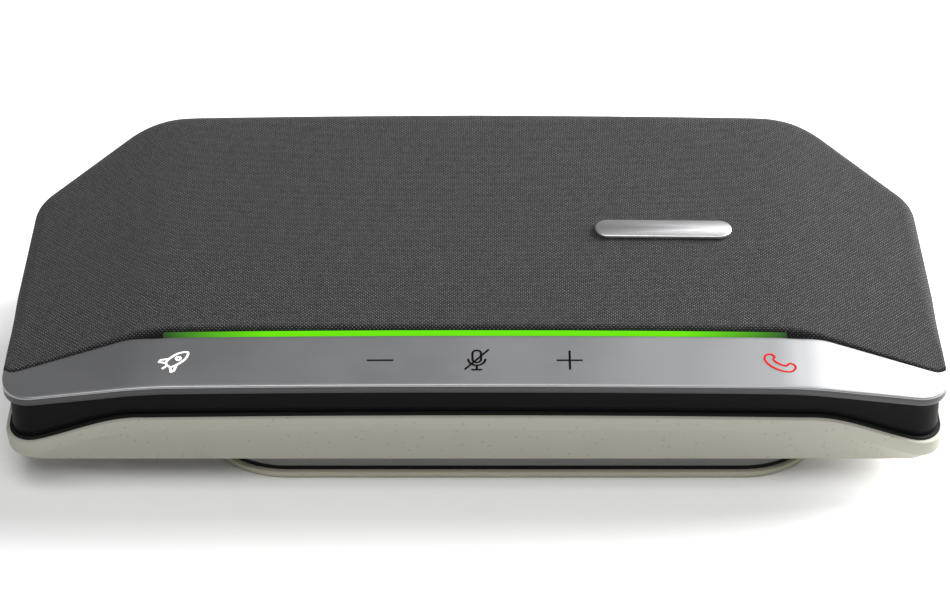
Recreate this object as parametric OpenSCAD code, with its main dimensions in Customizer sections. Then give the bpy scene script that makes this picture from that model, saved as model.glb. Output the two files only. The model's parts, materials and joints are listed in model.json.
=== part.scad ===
// Conference speakerphone: a wedge-shaped desk unit with a cloth-covered top,
// a touch bar along the front, and an off-centre pedestal foot.
// Millimetres. X runs along the width, -Y is the front, Z is up from the table.

/* [Housing] */
// Width across the widest point of the sides
body_w = 213; // [178:1:256]
// Depth from front edge to back edge
body_d = 98; // [82:1:118]
// Height of the top's back edge above the table
body_h = 43; // [34:0.5:50]
// Half of the flat middle stretch, where the drooping wings start
wing_x = 73; // [66:1:76]
// Fall of the cloth top for each mm along a wing
wing_fall = 0.15; // [0.05:0.01:0.2]
// How much higher the middle of each long edge stands than its ends
crown = 0.6; // [0:0.1:1.5]
// Radius of the front corners seen from above
front_r = 8; // [6:1:12]
// Radius of the two bends of each back corner seen from above
back_r = 20; // [14:1:24]
// Bow of the short sides
side_bow = 1; // [0:0.1:2]
// Edge rounding of the cloth top at the sides and back
top_r = 4; // [2:0.5:5]

/* [Tray and foot] */
// Height of the tray's underside above the table
foot_h = 8; // [5:0.5:12]
// Height of the tray's rim above the table, at the wing's start
rim_z = 21.4; // [18:0.2:25]
// How far the rim falls at the corners
rim_fall = 7.2; // [0:0.2:8]
// Height of the light strip along the rim
rim_strip = 3.6; // [2:0.2:4]
// Inward lean of the tray between that strip and the underside
tray_lean = 3; // [1:0.5:4]
// Wall thickness of the tray
tray_wall = 1.6; // [1.2:0.1:2]
// Floor thickness of the tray
tray_floor = 2; // [1.5:0.1:3]
// Width of the foot's flange
foot_w = 144; // [110:1:160]
// Depth of the foot's flange
foot_d = 74; // [60:1:84]
// Corner radius of the foot's flange
foot_r = 20; // [12:1:28]
// Distance of the foot's middle to the right of the body's middle
foot_shift = 9; // [0:1:12]
// Distance of the foot's front edge behind the tray's front edge
foot_back = 6; // [4:0.5:12]
// Thickness of the foot's flange
flange_t = 1.6; // [1.2:0.1:2.5]
// Height of the black seal above the flange
seal_t = 0.9; // [0.5:0.1:1.5]

/* [Front bar and band] */
// Depth of the touch bar and light guide together, at the middle
bar_d = 17.4; // [14:0.2:20]
// How much nearer the front the cloth edge comes at the corners
bar_taper = 9; // [4:0.5:11]
// Slope of the touch bar
bar_tilt = 9.8; // [4:0.2:14]
// Height of the lip's top edge, at the wing's start
lip_z = 29.7; // [27.5:0.1:31]
// Height of the lip
lip_h = 1.8; // [1.2:0.1:2.4]
// Fall of the lip for each mm along a wing
lip_fall = 0.12; // [0.05:0.01:0.16]
// Width of the light guide seen from above
guide_w = 1.5; // [1:0.1:2.5]
// How far the black middle band is set in from the outline
band_inset = 1.75; // [1.75:0.05:2.5]
// Wall thickness of the middle band
band_wall = 1.8; // [1.4:0.1:2.4]
// Thickness of the cloth
cloth_t = 1.0; // [0.8:0.1:1.4]
// Wall thickness of the grille below the cloth
grille_t = 2; // [1.6:0.1:2.4]

/* [Speaker] */
// Half width of the speaker chamber
box_x = 46; // [44:1:47]
// Wall thickness of the speaker chamber
box_wall = 2; // [1.6:0.1:2.4]
// Radius of the driver's frame
driver_r = 20; // [17:0.5:22]
// Radius of the moving cone as a share of the driver's
cone_share = 0.75; // [0.65:0.005:0.775]
// Radius of the voice coil as a share of the driver's
coil_share = 0.325; // [0.25:0.005:0.4]
// Travel of the cone each way
cone_travel = 1.2; // [0.5:0.1:1.5]
// Half width of each passive radiator's plate
rad_x = 6; // [5:0.5:7]
// Length of each passive radiator's plate
rad_l = 34; // [26:1:36]

/* [Buttons and ports] */
// Width of each rear button
key_w = 6; // [5:0.5:7]
// Height of each rear button
key_h = 3; // [2.4:0.2:3.4]
// Distance between the rear buttons
key_pitch = 9; // [8:0.5:9.5]
// How far a rear button stands out of the band
key_proud = 0.9; // [0.7:0.1:1.2]
// Clearance between a button and its opening
key_gap = 0.15; // [0.1:0.05:0.3]
// Radius of the cord inlet's bore
inlet_r = 1.9; // [1.5:0.1:1.9]
// Clearance between pieces that touch or nest
fit = 0.1; // [0.05:0.05:0.2]
// Radius of a case screw's shank
screw_r = 1.2; // [1:0.1:1.4]

/* [Hidden] */
$fn = 48;

// ---- outline seen from above ----
half_w = body_w / 2;
half_d = body_d / 2;
cloth_y = bar_d - half_d;
cloth_corner_y = cloth_y - bar_taper;
side_y = -0.12 * body_d;
corner_n = 7;
bend_n = 4;
// size of the cut-off back corners, and how far the back edge falls short at them
chamfer_x = 27;
chamfer_y = 28;
back_dip = 0.4;
back_bend = [half_w - chamfer_x, half_d - back_dip];
side_bend = [half_w - side_bow, half_d - chamfer_y];
// share of wing_x where the light guide ends
guide_end = 0.96;

function unit(v) = v / norm(v);
function clamp01(t) = max(0, min(1, t));
function smooth(t) = let (c = clamp01(t)) c * c * (3 - 2 * c);

// points of the arc of radius r that rounds the corner b between a and c
function bend(a, b, c, r, n) =
  let (u = unit(a - b), v = unit(c - b), half = acos(u * v) / 2)
  let (mid = b + unit(u + v) * r / sin(half))
  let (p = b + u * r / tan(half) - mid, q = b + v * r / tan(half) - mid)
  let (a0 = atan2(p.y, p.x), turn = ((atan2(q.y, q.x) - a0 + 540) % 360) - 180)
  [for (i = [0:n]) mid + r * [cos(a0 + turn * i / n), sin(a0 + turn * i / n)]];

side_mid = [half_w, side_y];
// stations of the flat stretch, shared by the front and back edges
flat_x = [0, wing_x / 3, wing_x * 2 / 3];
front_corner = [half_w - side_bow * 0.6, -half_d];
body_front = concat(
  [for (x = flat_x) [x, -half_d]],
  [[wing_x * guide_end, -half_d], [wing_x, -half_d]],
  bend([wing_x, -half_d], front_corner, side_mid, front_r, corner_n),
  [side_mid]);
body_back = concat(
  [for (x = flat_x) [x, half_d - back_dip * pow(x / wing_x, 2)]],
  bend([0, half_d], back_bend, side_bend, back_r, bend_n),
  bend(back_bend, side_bend, side_mid, back_r * 0.6, bend_n),
  [side_mid]);

// the front edge of the cloth: straight in the middle, then forward to the side
cloth_turn_r = 3;
cloth_corner = [half_w - side_bow * 0.3, cloth_corner_y];
function cloth_edge(off) = concat(
  [for (x = flat_x) [x, cloth_y + off]],
  [[wing_x * guide_end, cloth_y + off], [wing_x, cloth_y + off]],
  bend([wing_x, cloth_y + off], cloth_corner + [0, off], side_mid, cloth_turn_r, corner_n),
  [side_mid]);

function mirrored(path) = [for (i = [len(path) - 1:-1:1]) [-path[i].x, path[i].y]];
// closed outline from the left side along the front to the right side and back
function closed(front, back) = concat(
  mirrored(front), front,
  [for (i = [len(back) - 2:-1:0]) back[i]],
  [for (i = [1:len(back) - 2]) [-back[i].x, back[i].y]]);

body_outline = closed(body_front, body_back);
cloth_outline = closed(cloth_edge(0), body_back);

function inward(path, i) =
  let (n = len(path), d = unit(path[(i + 1) % n] - path[(i + n - 1) % n]))
  [-d.y, d.x];
function inset_path(path, t) = [for (i = [0:len(path) - 1]) path[i] + inward(path, i) * t];

// ---- heights ----
function in_wing(x) = max(0, abs(x) - wing_x);
function crowned(x) = crown * (1 - pow(min(1, abs(x) / wing_x), 2));
function lip_top(x) = lip_z + crowned(x) - lip_fall * in_wing(x);
function rim_top(x) =
  rim_z + crowned(x) - rim_fall * smooth((in_wing(x) - 2) / (half_w - wing_x - 3));
bar_edge = 0.45;
bar_slope = tan(bar_tilt);
function bar_top(p) = lip_top(p.x) + bar_edge + (p.y + half_d) * bar_slope;
// how far the frame and the cloth are set in from the outline
frame_in = 0.4;
cloth_front_z = lip_z + bar_edge + bar_d * bar_slope + 0.2;
cloth_slope = (body_h - crown - cloth_front_z) / (half_d - frame_in - top_r - cloth_y);
function cloth_top(p) =
  cloth_front_z + crowned(p.x) + (p.y - cloth_y) * cloth_slope - wing_fall * in_wing(p.x);
function edge_r(p) = 0.8 + (top_r - 0.8) * smooth((p.y - cloth_corner_y - 2) / 22);

// ---- solids made of rings that share one outline ----
function side_faces(n, k) = [for (j = [0:k - 1], i = [0:n - 1])
  let (a = j * n + i, b = j * n + (i + 1) % n)
  each [[a, b, b + n], [a, b + n, a + n]]];
function wrap_faces(n, k) = [for (i = [0:n - 1])
  let (a = k * n + i, b = k * n + (i + 1) % n, c = i, d = (i + 1) % n)
  each [[a, b, d], [a, d, c]]];
// cross strips between the front and back halves of a ring
function cap_faces(n, base) = [for (i = [0:n / 2 - 1])
  let (a = base + i, b = base + i + 1, c = base + n - i - 1, d = base + (n - i) % n)
  each (i == 0 ? [[a, b, c]] : i == n / 2 - 1 ? [[a, b, d]] : [[a, b, c], [a, c, d]])];
function flipped(faces) = [for (f = faces) [f[2], f[1], f[0]]];

module stack(rings) {
  n = len(rings[0]);
  k = len(rings) - 1;
  polyhedron(
    points = [for (r = rings) each r],
    faces = flipped(concat(side_faces(n, k), flipped(cap_faces(n, 0)), cap_faces(n, k * n))),
    convexity = 6);
}
module hoop(rings) {
  n = len(rings[0]);
  k = len(rings) - 1;
  polyhedron(
    points = [for (r = rings) each r],
    faces = flipped(concat(side_faces(n, k), wrap_faces(n, k))),
    convexity = 6);
}

function ring(path, t, z) = [for (p = inset_path(path, t)) [p.x, p.y, z(p)]];
function raised(z, dz) = function (p) z(p) + dz;

// rings of a cap-shaped shell: up the inner face, out and up the outer face
function dome_rings(path, t, drop) = [
  for (k = [0, 0.3, 1])
    [for (i = [0:len(path) - 1])
      let (r = max(0.3, edge_r(path[i]) - t), q = path[i] + inward(path, i) * (t + r * k))
      [q.x, q.y, max(cloth_top(q) - drop - r * pow(1 - k, 2), lip_top(q.x) + 0.2 + 0.1 * k)]]];
module dome_shell(path, t, drop, wall, bottom) {
  outer = dome_rings(path, t, drop);
  inner = dome_rings(path, t + wall, drop + wall);
  stack(concat(
    [inner[2], inner[1], inner[0]],
    [ring(path, t + wall, bottom), ring(path, t, bottom)],
    outer));
}

// ---- flat shapes ----
module round_rect(w, d, r) {
  square([w - 2 * r, d], center = true);
  square([w, d - 2 * r], center = true);
  for (sx = [-1, 1], sy = [-1, 1]) translate([sx * (w / 2 - r), sy * (d / 2 - r)]) circle(r);
}
module slab(w, d, r, h) linear_extrude(h) round_rect(w, d, r);
// rounded bar that lies along X or Y
module race_track(w, d) {
  r = min(w, d) / 2;
  square([max(w - 2 * r, 0.01), d - (w > d ? 0 : 2 * r)], center = true);
  square([w - (w > d ? 2 * r : 0), max(d - 2 * r, 0.01)], center = true);
  for (s = [-1, 1]) translate(w > d ? [s * (w / 2 - r), 0] : [0, s * (d / 2 - r)]) circle(r);
}

// ---- tray and foot ----
tray_top_z = function (p) rim_top(p.x);
strip_z = function (p) rim_top(p.x) - rim_strip;
under_z = function (p) foot_h;
floor_z = foot_h + tray_floor;
boss_top = foot_h + 7.5;
// case screw places: front corners, back corners, middle of the back
posts = [
  [half_w - 9.5, 13 - half_d, 0, 5],
  [half_w - 21.5, half_d - 17.5, 46, 3.7],
  [box_x - 2, half_d - 7, 90, 2.9]];
module at_posts() for (p = posts, s = [-1, 1]) translate([s * p.x, p.y, 0]) children();
head_r = screw_r * 1.9;
head_h = 1.6;

gasket_h = 0.55;
board_t = 1.6;
board_z = rim_z + gasket_h + 0.1 - board_t;
box_y0 = cloth_y + 5;
box_y1 = half_d - 17.5;
bay_gap = 3;
bay_x0 = box_x + bay_gap;
bay_x1 = half_w - 10.5;
bay_y0 = box_y0 - 1;
bay_y1 = half_d - 24;
standoffs = [
  [bay_x0 + 6, bay_y0 + 5], [bay_x1 - 5, bay_y0 + 5],
  [bay_x1 - 5, bay_y1 - 7], [bay_x0 + 22, half_d - 15]];
// feet of the battery bracket
strap_x = -(bay_x0 + bay_x1) / 2;
strap_feet = [[strap_x, bay_y0 - 3.2], [strap_x, bay_y1 + 3.2]];
strap_foot_z = floor_z + 3;
strap_t = 1.2;
small_r = 0.95;
small_head_r = 1.8;
small_head_h = 1.2;
box_low = floor_z + 0.3;
box_top_z = lip_z - 2.4;
// directions of the driver's four screws
screw_angles = [0, 90, 180, 270];

module bottom_tray() color([0.74, 0.73, 0.68]) difference() {
  union() {
    stack([
      ring(body_outline, tray_lean, under_z),
      ring(body_outline, 0.3, strip_z),
      ring(body_outline, 0, raised(tray_top_z, -0.5)),
      ring(body_outline, 0.3, tray_top_z),
      ring(body_outline, tray_wall, tray_top_z),
      ring(body_outline, tray_wall, strip_z),
      ring(body_outline, tray_lean + tray_wall, function (p) floor_z)]);
    at_posts() translate([0, 0, floor_z - 0.5])
      cylinder(r = screw_r + 2, h = boss_top - floor_z + 0.5);
    for (p = standoffs) translate([p.x, p.y, floor_z - 0.5])
      cylinder(r = 2.5, h = board_z - floor_z + 0.5);
    for (p = strap_feet)
      translate([p.x, p.y, floor_z - 0.5]) cylinder(r = 2.5, h = strap_foot_z - floor_z + 0.5);
  }
  at_posts() {
    translate([0, 0, foot_h - 1]) cylinder(r = head_r + 0.2, h = head_h + 1.4);
    translate([0, 0, foot_h - 1]) cylinder(r = screw_r + 0.3, h = boss_top);
  }
  for (p = standoffs) translate([p.x, p.y, board_z - 6]) cylinder(r = small_r + 0.05, h = 7);
  for (p = strap_feet) translate([p.x, p.y, floor_z + 0.2]) cylinder(r = small_r + 0.05, h = 7);
}

foot_y = (foot_d - body_d) / 2 + foot_back;
pad_t = 1;
pad_w = 5;
flange_z = 0.25;
seal_z = flange_z + flange_t;
neck_z = seal_z + seal_t;
seal_in = 1.1;
neck_in = 1.3;
neck_wall = 2.4;
neck_r = foot_r - neck_in;
neck_w = foot_w - 2 * neck_in;
neck_d = foot_d - 2 * neck_in;
module at_foot(z) translate([foot_shift, foot_y, z]) children();
inlet_z = (neck_z + foot_h) / 2;
inlet_out = 2;
foot_screw_places = [
  for (sx = [-1, 1], sy = [-1, 1]) [sx * (foot_w / 2 - foot_r), sy * (foot_d / 2 - foot_r)]];
foot_boss_z = foot_h - 1.6;

module foot_neck() color([0.3, 0.3, 0.31]) difference() {
  at_foot(neck_z) slab(neck_w, neck_d, neck_r, foot_h - fit - neck_z);
  at_foot(neck_z - 1) difference() {
    slab(neck_w - 2 * neck_wall, neck_d - 2 * neck_wall, neck_r - neck_wall, foot_boss_z - neck_z + 1);
    for (p = foot_screw_places) translate([p.x, p.y, -1]) cylinder(r = 4, h = foot_h);
  }
  at_foot(neck_z - 1) for (p = foot_screw_places)
    translate([p.x, p.y, 0]) cylinder(r = screw_r + 0.05, h = foot_boss_z - neck_z);
  at_foot(0) translate([-neck_w / 2 - 1, 0, inlet_z]) rotate([0, 90, 0])
    cylinder(r = inlet_r + 0.6, h = neck_wall + 2);
}
module foot_seal() color([0.05, 0.05, 0.05]) at_foot(seal_z) difference() {
  slab(foot_w - 2 * seal_in, foot_d - 2 * seal_in, foot_r - seal_in, seal_t - 0.02);
  translate([0, 0, -1])
    slab(foot_w - 2 * seal_in - 5, foot_d - 2 * seal_in - 5, foot_r - seal_in - 2.5, seal_t + 2);
}
module foot_base() color([0.6, 0.58, 0.5]) at_foot(flange_z) difference() {
  slab(foot_w, foot_d, foot_r, flange_t - 0.02);
  translate([0, 0, -1]) difference() {
    slab(foot_w - 6, foot_d - 6, foot_r - 3, 1 + pad_t - flange_z);
    translate([0, 0, -1]) slab(foot_w - 6 - 2 * pad_w, foot_d - 6 - 2 * pad_w, foot_r - 3 - pad_w, 4);
  }
  for (p = foot_screw_places) translate([p.x, p.y, -1]) {
    cylinder(r = screw_r + 0.2, h = 5);
    cylinder(r = head_r + 0.2, h = 1.8);
  }
}
module foot_pad() color([0.1, 0.1, 0.1]) at_foot(0) difference() {
  slab(foot_w - 6.4, foot_d - 6.4, foot_r - 3.2, pad_t - 0.03);
  translate([0, 0, -1])
    slab(foot_w - 5.6 - 2 * pad_w, foot_d - 5.6 - 2 * pad_w, foot_r - 2.8 - pad_w, 4);
}
module screw(shank, length, head, head_t) {
  translate([0, 0, -head_t]) difference() {
    cylinder(r = head, h = head_t);
    translate([0, 0, -0.01]) cylinder(r = shank * 0.9, h = head_t * 0.55, $fn = 6);
  }
  translate([0, 0, -0.01]) cylinder(r = shank, h = length);
}
module foot_screws() color([0.2, 0.2, 0.2]) at_foot(flange_z + 0.75)
  for (p = foot_screw_places) translate([p.x, p.y, 0]) screw(screw_r, foot_boss_z - 2, head_r, 0.6);
module cord_inlet() color([0.08, 0.08, 0.08])
  at_foot(0) translate([-neck_w / 2 - inlet_out, 0, inlet_z]) rotate([0, 90, 0]) difference() {
    union() {
      cylinder(r = inlet_r + 0.55, h = neck_wall + inlet_out + 1);
      cylinder(r = min(inlet_r + 0.7, (foot_h - neck_z) / 2 - 0.15), h = inlet_out - 0.1);
    }
    translate([0, 0, -1]) cylinder(r = inlet_r, h = neck_wall + inlet_out + 4);
  }

// ---- middle band, frame and cloth top ----
band_in = band_inset + band_wall;
lip_bottom_z = function (p) lip_top(p.x) - lip_h;
lip_top_z = function (p) lip_top(p.x);
frame_ring = 4.6;
key_xs = [for (i = [0:2]) -(bay_x0 + 4 + i * key_pitch)];
key_z = (rim_z + lip_z - lip_h) / 2;
// back face of the band beside the flat stretch
band_back = half_d - 0.3 - band_inset;
usb_a = [13.1, 13, 5];
usb_c = [9, 7.5, 3.2];
usb_a_x = bay_x0 + 8;
usb_c_x = bay_x0 + 21;
board_top = board_z + board_t;
usb_a_z = board_top + usb_a.z / 2 + 0.02;
usb_c_z = board_top + usb_c.z / 2 + 0.02;

// outline of a port or key drilled along Y
module along_y(x, y, z, length)
  translate([x, y, z]) rotate([90, 0, 0]) linear_extrude(length) children();

module mid_band() color([0.09, 0.09, 0.1]) difference() {
  hoop([
    ring(body_outline, band_inset, raised(tray_top_z, -2.2)),
    ring(body_outline, band_inset, raised(lip_bottom_z, -fit / 2)),
    ring(body_outline, band_in, raised(lip_bottom_z, -fit / 2)),
    ring(body_outline, band_in, raised(tray_top_z, -2.2))]);
  for (x = key_xs)
    along_y(x, half_d, key_z, 8) race_track(key_w + 2 * key_gap, key_h + 2 * key_gap);
  along_y(usb_a_x, half_d, usb_a_z, 8) square([usb_a.x + 0.2, usb_a.z + 0.2], center = true);
  along_y(usb_c_x, half_d, usb_c_z, 8) race_track(usb_c.x + 0.2, usb_c.z + 0.2);
}
module housing_gasket() color([0.03, 0.03, 0.03]) hoop([
  ring(body_outline, 0.9, raised(tray_top_z, 0.06)),
  ring(body_outline, 1, raised(tray_top_z, gasket_h)),
  ring(body_outline, band_inset - 0.05, raised(tray_top_z, gasket_h)),
  ring(body_outline, band_inset - 0.05, raised(tray_top_z, 0.06))]);
module top_frame() color([0.42, 0.42, 0.43]) difference() {
  union() {
    hoop([
      ring(body_outline, frame_in + 0.3, lip_bottom_z),
      ring(body_outline, frame_in, raised(lip_bottom_z, 0.4)),
      ring(body_outline, frame_in, lip_top_z),
      ring(body_outline, frame_ring, lip_top_z),
      ring(body_outline, frame_ring, lip_bottom_z)]);
    for (p = posts, s = [-1, 1]) let (top = lip_top(p.x) - 0.9) translate([s * p.x, p.y, 0]) {
      translate([0, 0, boss_top + fit]) cylinder(r = screw_r + 1.6, h = top - boss_top - fit);
      rotate([0, 0, s > 0 ? p[2] : 180 - p[2]]) translate([0, -1.5, top - 0.6]) cube([p[3], 3, 0.6]);
    }
  }
  at_posts() translate([0, 0, boss_top - 1]) cylinder(r = screw_r + 0.05, h = 9);
}
module case_screws() color([0.25, 0.25, 0.26])
  at_posts() translate([0, 0, foot_h + 0.2 + head_h]) screw(screw_r, boss_top - foot_h + 4, head_r, head_h);

cloth_bottom = raised(lip_top_z, fit / 2);
grille_out = frame_in + cloth_t + fit;
slot_w = 2.4;
slot_pitch = 5;
module top_grille() color([0.16, 0.16, 0.17]) difference() {
  dome_shell(cloth_outline, grille_out, cloth_t + fit, grille_t, cloth_bottom);
  for (i = [-9:9], j = [-1:1])
    translate([i * slot_pitch - slot_w / 2, box_y0 + 8 + (j + 1) * (box_y1 - box_y0 - 10) / 3, lip_z + 2])
      cube([slot_w, (box_y1 - box_y0 - 10) / 3 - 4, body_h]);
}
module fabric_cover() color([0.24, 0.24, 0.25])
  dome_shell(cloth_outline, frame_in, 0, cloth_t, cloth_bottom);

// gap on each side of the light guide
guide_gap = 0.15;
// front and back edges of the touch bar, paired along X
bar_n = 10;
function bar_front_at(x) =
  let (r = front_r, over = max(0, x - (half_w - side_bow * 0.6 - r)))
  r - half_d - sqrt(max(0, r * r - over * over));
function bar_back_at(x) =
  let (t = clamp01((x - wing_x) / (half_w - wing_x)))
  cloth_y - 2 * guide_gap - guide_w * (1 - smooth((x - wing_x * guide_end) / 10)) - bar_taper * t;
bar_last = half_w - side_bow - frame_in - 0.6;
bar_xs = concat(flat_x, [wing_x * guide_end, wing_x],
  [for (i = [1:bar_n]) wing_x + (bar_last - wing_x) * (1 - pow(1 - i / bar_n, 1.6))]);
bar_front_path = [for (x = bar_xs) [x, bar_front_at(x) + frame_in]];
bar_back_path = [for (x = bar_xs) [x, bar_back_at(x)]];
function two_sided(front, back) = concat(
  mirrored(front), front,
  [for (i = [len(back) - 1:-1:0]) back[i]],
  [for (i = [1:len(back) - 1]) [-back[i].x, back[i].y]]);
// a solid whose front and back edges are paired along X, square ends
module ladder(low, high) {
  n = len(low);
  polyhedron(
    points = concat(low, high),
    faces = flipped(concat(
      side_faces(n, 1),
      flipped(quad_caps(n, 0)),
      quad_caps(n, n))),
    convexity = 4);
}
function quad_caps(n, base) = [for (i = [0:n / 2 - 2])
  let (a = base + i, b = base + i + 1, c = base + n - i - 2, d = base + n - i - 1)
  each [[a, b, c], [a, c, d]]];
function lifted(path, z) = [for (p = path) [p.x, p.y, z(p)]];

module touch_bar() color([0.55, 0.56, 0.57])
  ladder(
    lifted(two_sided(bar_front_path, bar_back_path), cloth_bottom),
    lifted(two_sided(bar_front_path, bar_back_path), function (p) bar_top(p)));

guide_xs = concat(flat_x, [wing_x * guide_end]);
guide_low = lip_z + fit - 0.4;
module light_guide() color([0.4, 0.85, 0.15])
  ladder(
    lifted(two_sided(
      [for (x = guide_xs) [x, cloth_y - guide_w - guide_gap]],
      [for (x = guide_xs) [x, cloth_y - guide_gap]]), function (p) guide_low),
    lifted(two_sided(
      [for (x = guide_xs) [x, cloth_y - guide_w - guide_gap]],
      [for (x = guide_xs) [x, cloth_y - guide_gap]]), function (p) bar_top(p)));

ribbon_x = bay_x0 + 14;
led_board_z = lip_z - 2.2;
// the LED board stops short of the ribbon, and the guide carries the light further
led_half = ribbon_x - 0.5;
led_count = 24;
led_pitch = 2 * led_half * 0.98 / led_count;
module led_strip() color([0.12, 0.35, 0.2]) {
  translate([-led_half, cloth_y - 2.4, led_board_z]) cube([2 * led_half, 3.6, 0.8]);
  for (i = [0:led_count - 1])
    translate([(i - (led_count - 1) / 2) * led_pitch - 0.8, cloth_y - 1.6, led_board_z + 0.79])
      cube([1.6, 1.2, 0.7]);
}
badge_w = 32;
badge_d = 6;
badge_x = 44;
badge_y = 2.4;
module badge() color([0.75, 0.75, 0.76])
  translate([badge_x, badge_y, cloth_top([badge_x, badge_y]) + 0.15])
    rotate([atan(cloth_slope), atan(2 * crown * badge_x / pow(wing_x, 2)), 0])
      slab(badge_w, badge_d, 1.6, 0.9);

// ---- boards and microphones ----
touch_y0 = frame_ring + 0.3 - half_d;
touch_y1 = cloth_y - 2.9;
touch_z = lip_z - 1.5;
touch_x = wing_x - 1.5;
mic_xs = [-touch_x + 12, 0, touch_x - 12];
mic_y = (touch_y0 + touch_y1) / 2;
mic_r = 2;
mic_h = 1.4;
module touch_board() color([0.05, 0.3, 0.18]) difference() {
  translate([-touch_x, touch_y0, touch_z]) cube([2 * touch_x, touch_y1 - touch_y0, 1]);
  for (x = mic_xs) translate([x, mic_y, touch_z - 1]) cylinder(r = 0.5, h = 3);
}
module mic_capsules() color([0.8, 0.78, 0.7])
  for (x = mic_xs) translate([x, mic_y, touch_z - mic_h - fit]) difference() {
    cylinder(r = mic_r, h = mic_h);
    translate([0, 0, mic_h - 0.4]) cylinder(r = 0.5, h = 1);
  }
module mic_boots() color([0.07, 0.07, 0.07])
  for (x = mic_xs) translate([x, mic_y, touch_z - mic_h - 0.8]) difference() {
    cylinder(r = mic_r + 1.2, h = mic_h + 0.75);
    translate([0, 0, 0.6]) cylinder(r = mic_r + 0.05, h = mic_h + 2);
  }

module main_board() color([0.05, 0.32, 0.17]) difference() {
  union() {
    translate([bay_x0, bay_y0, board_z + 0.02]) cube([bay_x1 - bay_x0, bay_y1 - bay_y0, board_t - 0.02]);
    translate([bay_x0, bay_y1 - 1, board_z + 0.02])
      cube([26, half_d - band_in - 1.3 - bay_y1 + 1, board_t - 0.02]);
  }
  for (p = standoffs) translate([p.x, p.y, board_z - 1]) cylinder(r = small_r + 0.15, h = 4);
}
module shield_cans() color([0.75, 0.75, 0.76]) for (k = [0, 1])
  translate([bay_x0 + 9, bay_y0 + 12 + k * 20, board_top + 0.02]) difference() {
    cube([18, 15, 2.2]);
    translate([0.4, 0.4, -0.1]) cube([17.2, 14.2, 1.9]);
  }
module board_chips() color([0.06, 0.06, 0.06]) {
  for (k = [0, 1])
    translate([bay_x0 + 15, bay_y0 + 16 + k * 20, board_top + 0.02]) cube([7, 7, 1]);
  for (k = [0:3])
    translate([bay_x0 + 30, bay_y0 + 10 + k * 8, board_top + 0.02]) cube([4, 5, 1.2]);
}
module board_screws() color([0.8, 0.8, 0.82]) {
  for (p = standoffs) translate([p.x, p.y, board_top + 0.02]) mirror([0, 0, 1])
    screw(small_r, 5, small_head_r, small_head_h);
  for (p = strap_feet) translate([p.x, p.y, strap_foot_z + strap_t + 0.04]) mirror([0, 0, 1])
    screw(small_r, 3.5, small_head_r, small_head_h);
}
ribbon_t = 0.25;
// line of the flat lead: under the touch board, down, and onto the main board
ribbon_line = [
  [touch_y1 - 3, touch_z - 0.05 - ribbon_t], [touch_y1 + 0.6, touch_z - 0.05 - ribbon_t],
  [bay_y0 + 0.5, board_top + 0.05], [bay_y0 + 5, board_top + 0.05]];
module touch_ribbon() color([0.75, 0.45, 0.12]) translate([ribbon_x, 0, 0]) rotate([90, 0, 90])
  linear_extrude(8) polygon(concat(
    ribbon_line, [for (i = [3:-1:0]) ribbon_line[i] + [i == 1 || i == 2 ? 0.2 : 0, ribbon_t]]));

// ---- battery ----
pack_h = 9.5;
strap_w = 12;
pack_x = bay_x1 - bay_x0;
pack_y = bay_y1 - bay_y0;
module battery_pack() color([0.16, 0.3, 0.55])
  translate([strap_x, (bay_y0 + bay_y1) / 2, floor_z + fit]) slab(pack_x, pack_y, 3, pack_h);
module battery_bracket() color([0.35, 0.35, 0.36]) {
  low = strap_foot_z + 0.02;
  high = floor_z + pack_h + 2 * fit;
  difference() {
    union() {
      translate([strap_x - strap_w / 2, bay_y0 - 2 * fit - strap_t, high])
        cube([strap_w, pack_y + 4 * fit + 2 * strap_t, strap_t]);
      for (y = [bay_y0 - 2 * fit - strap_t, bay_y1 + 2 * fit])
        translate([strap_x - strap_w / 2, y, low]) cube([strap_w, strap_t, high - low + 0.1]);
      translate([strap_x - strap_w / 2, bay_y0 - 6.5, low]) cube([strap_w, 6.5 - 2 * fit, strap_t]);
      translate([strap_x - strap_w / 2, bay_y1 + 2 * fit, low]) cube([strap_w, 6.5 - 2 * fit, strap_t]);
    }
    for (p = strap_feet) translate([p.x, p.y, low - 1]) cylinder(r = small_r + 0.15, h = 4);
  }
}

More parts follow.
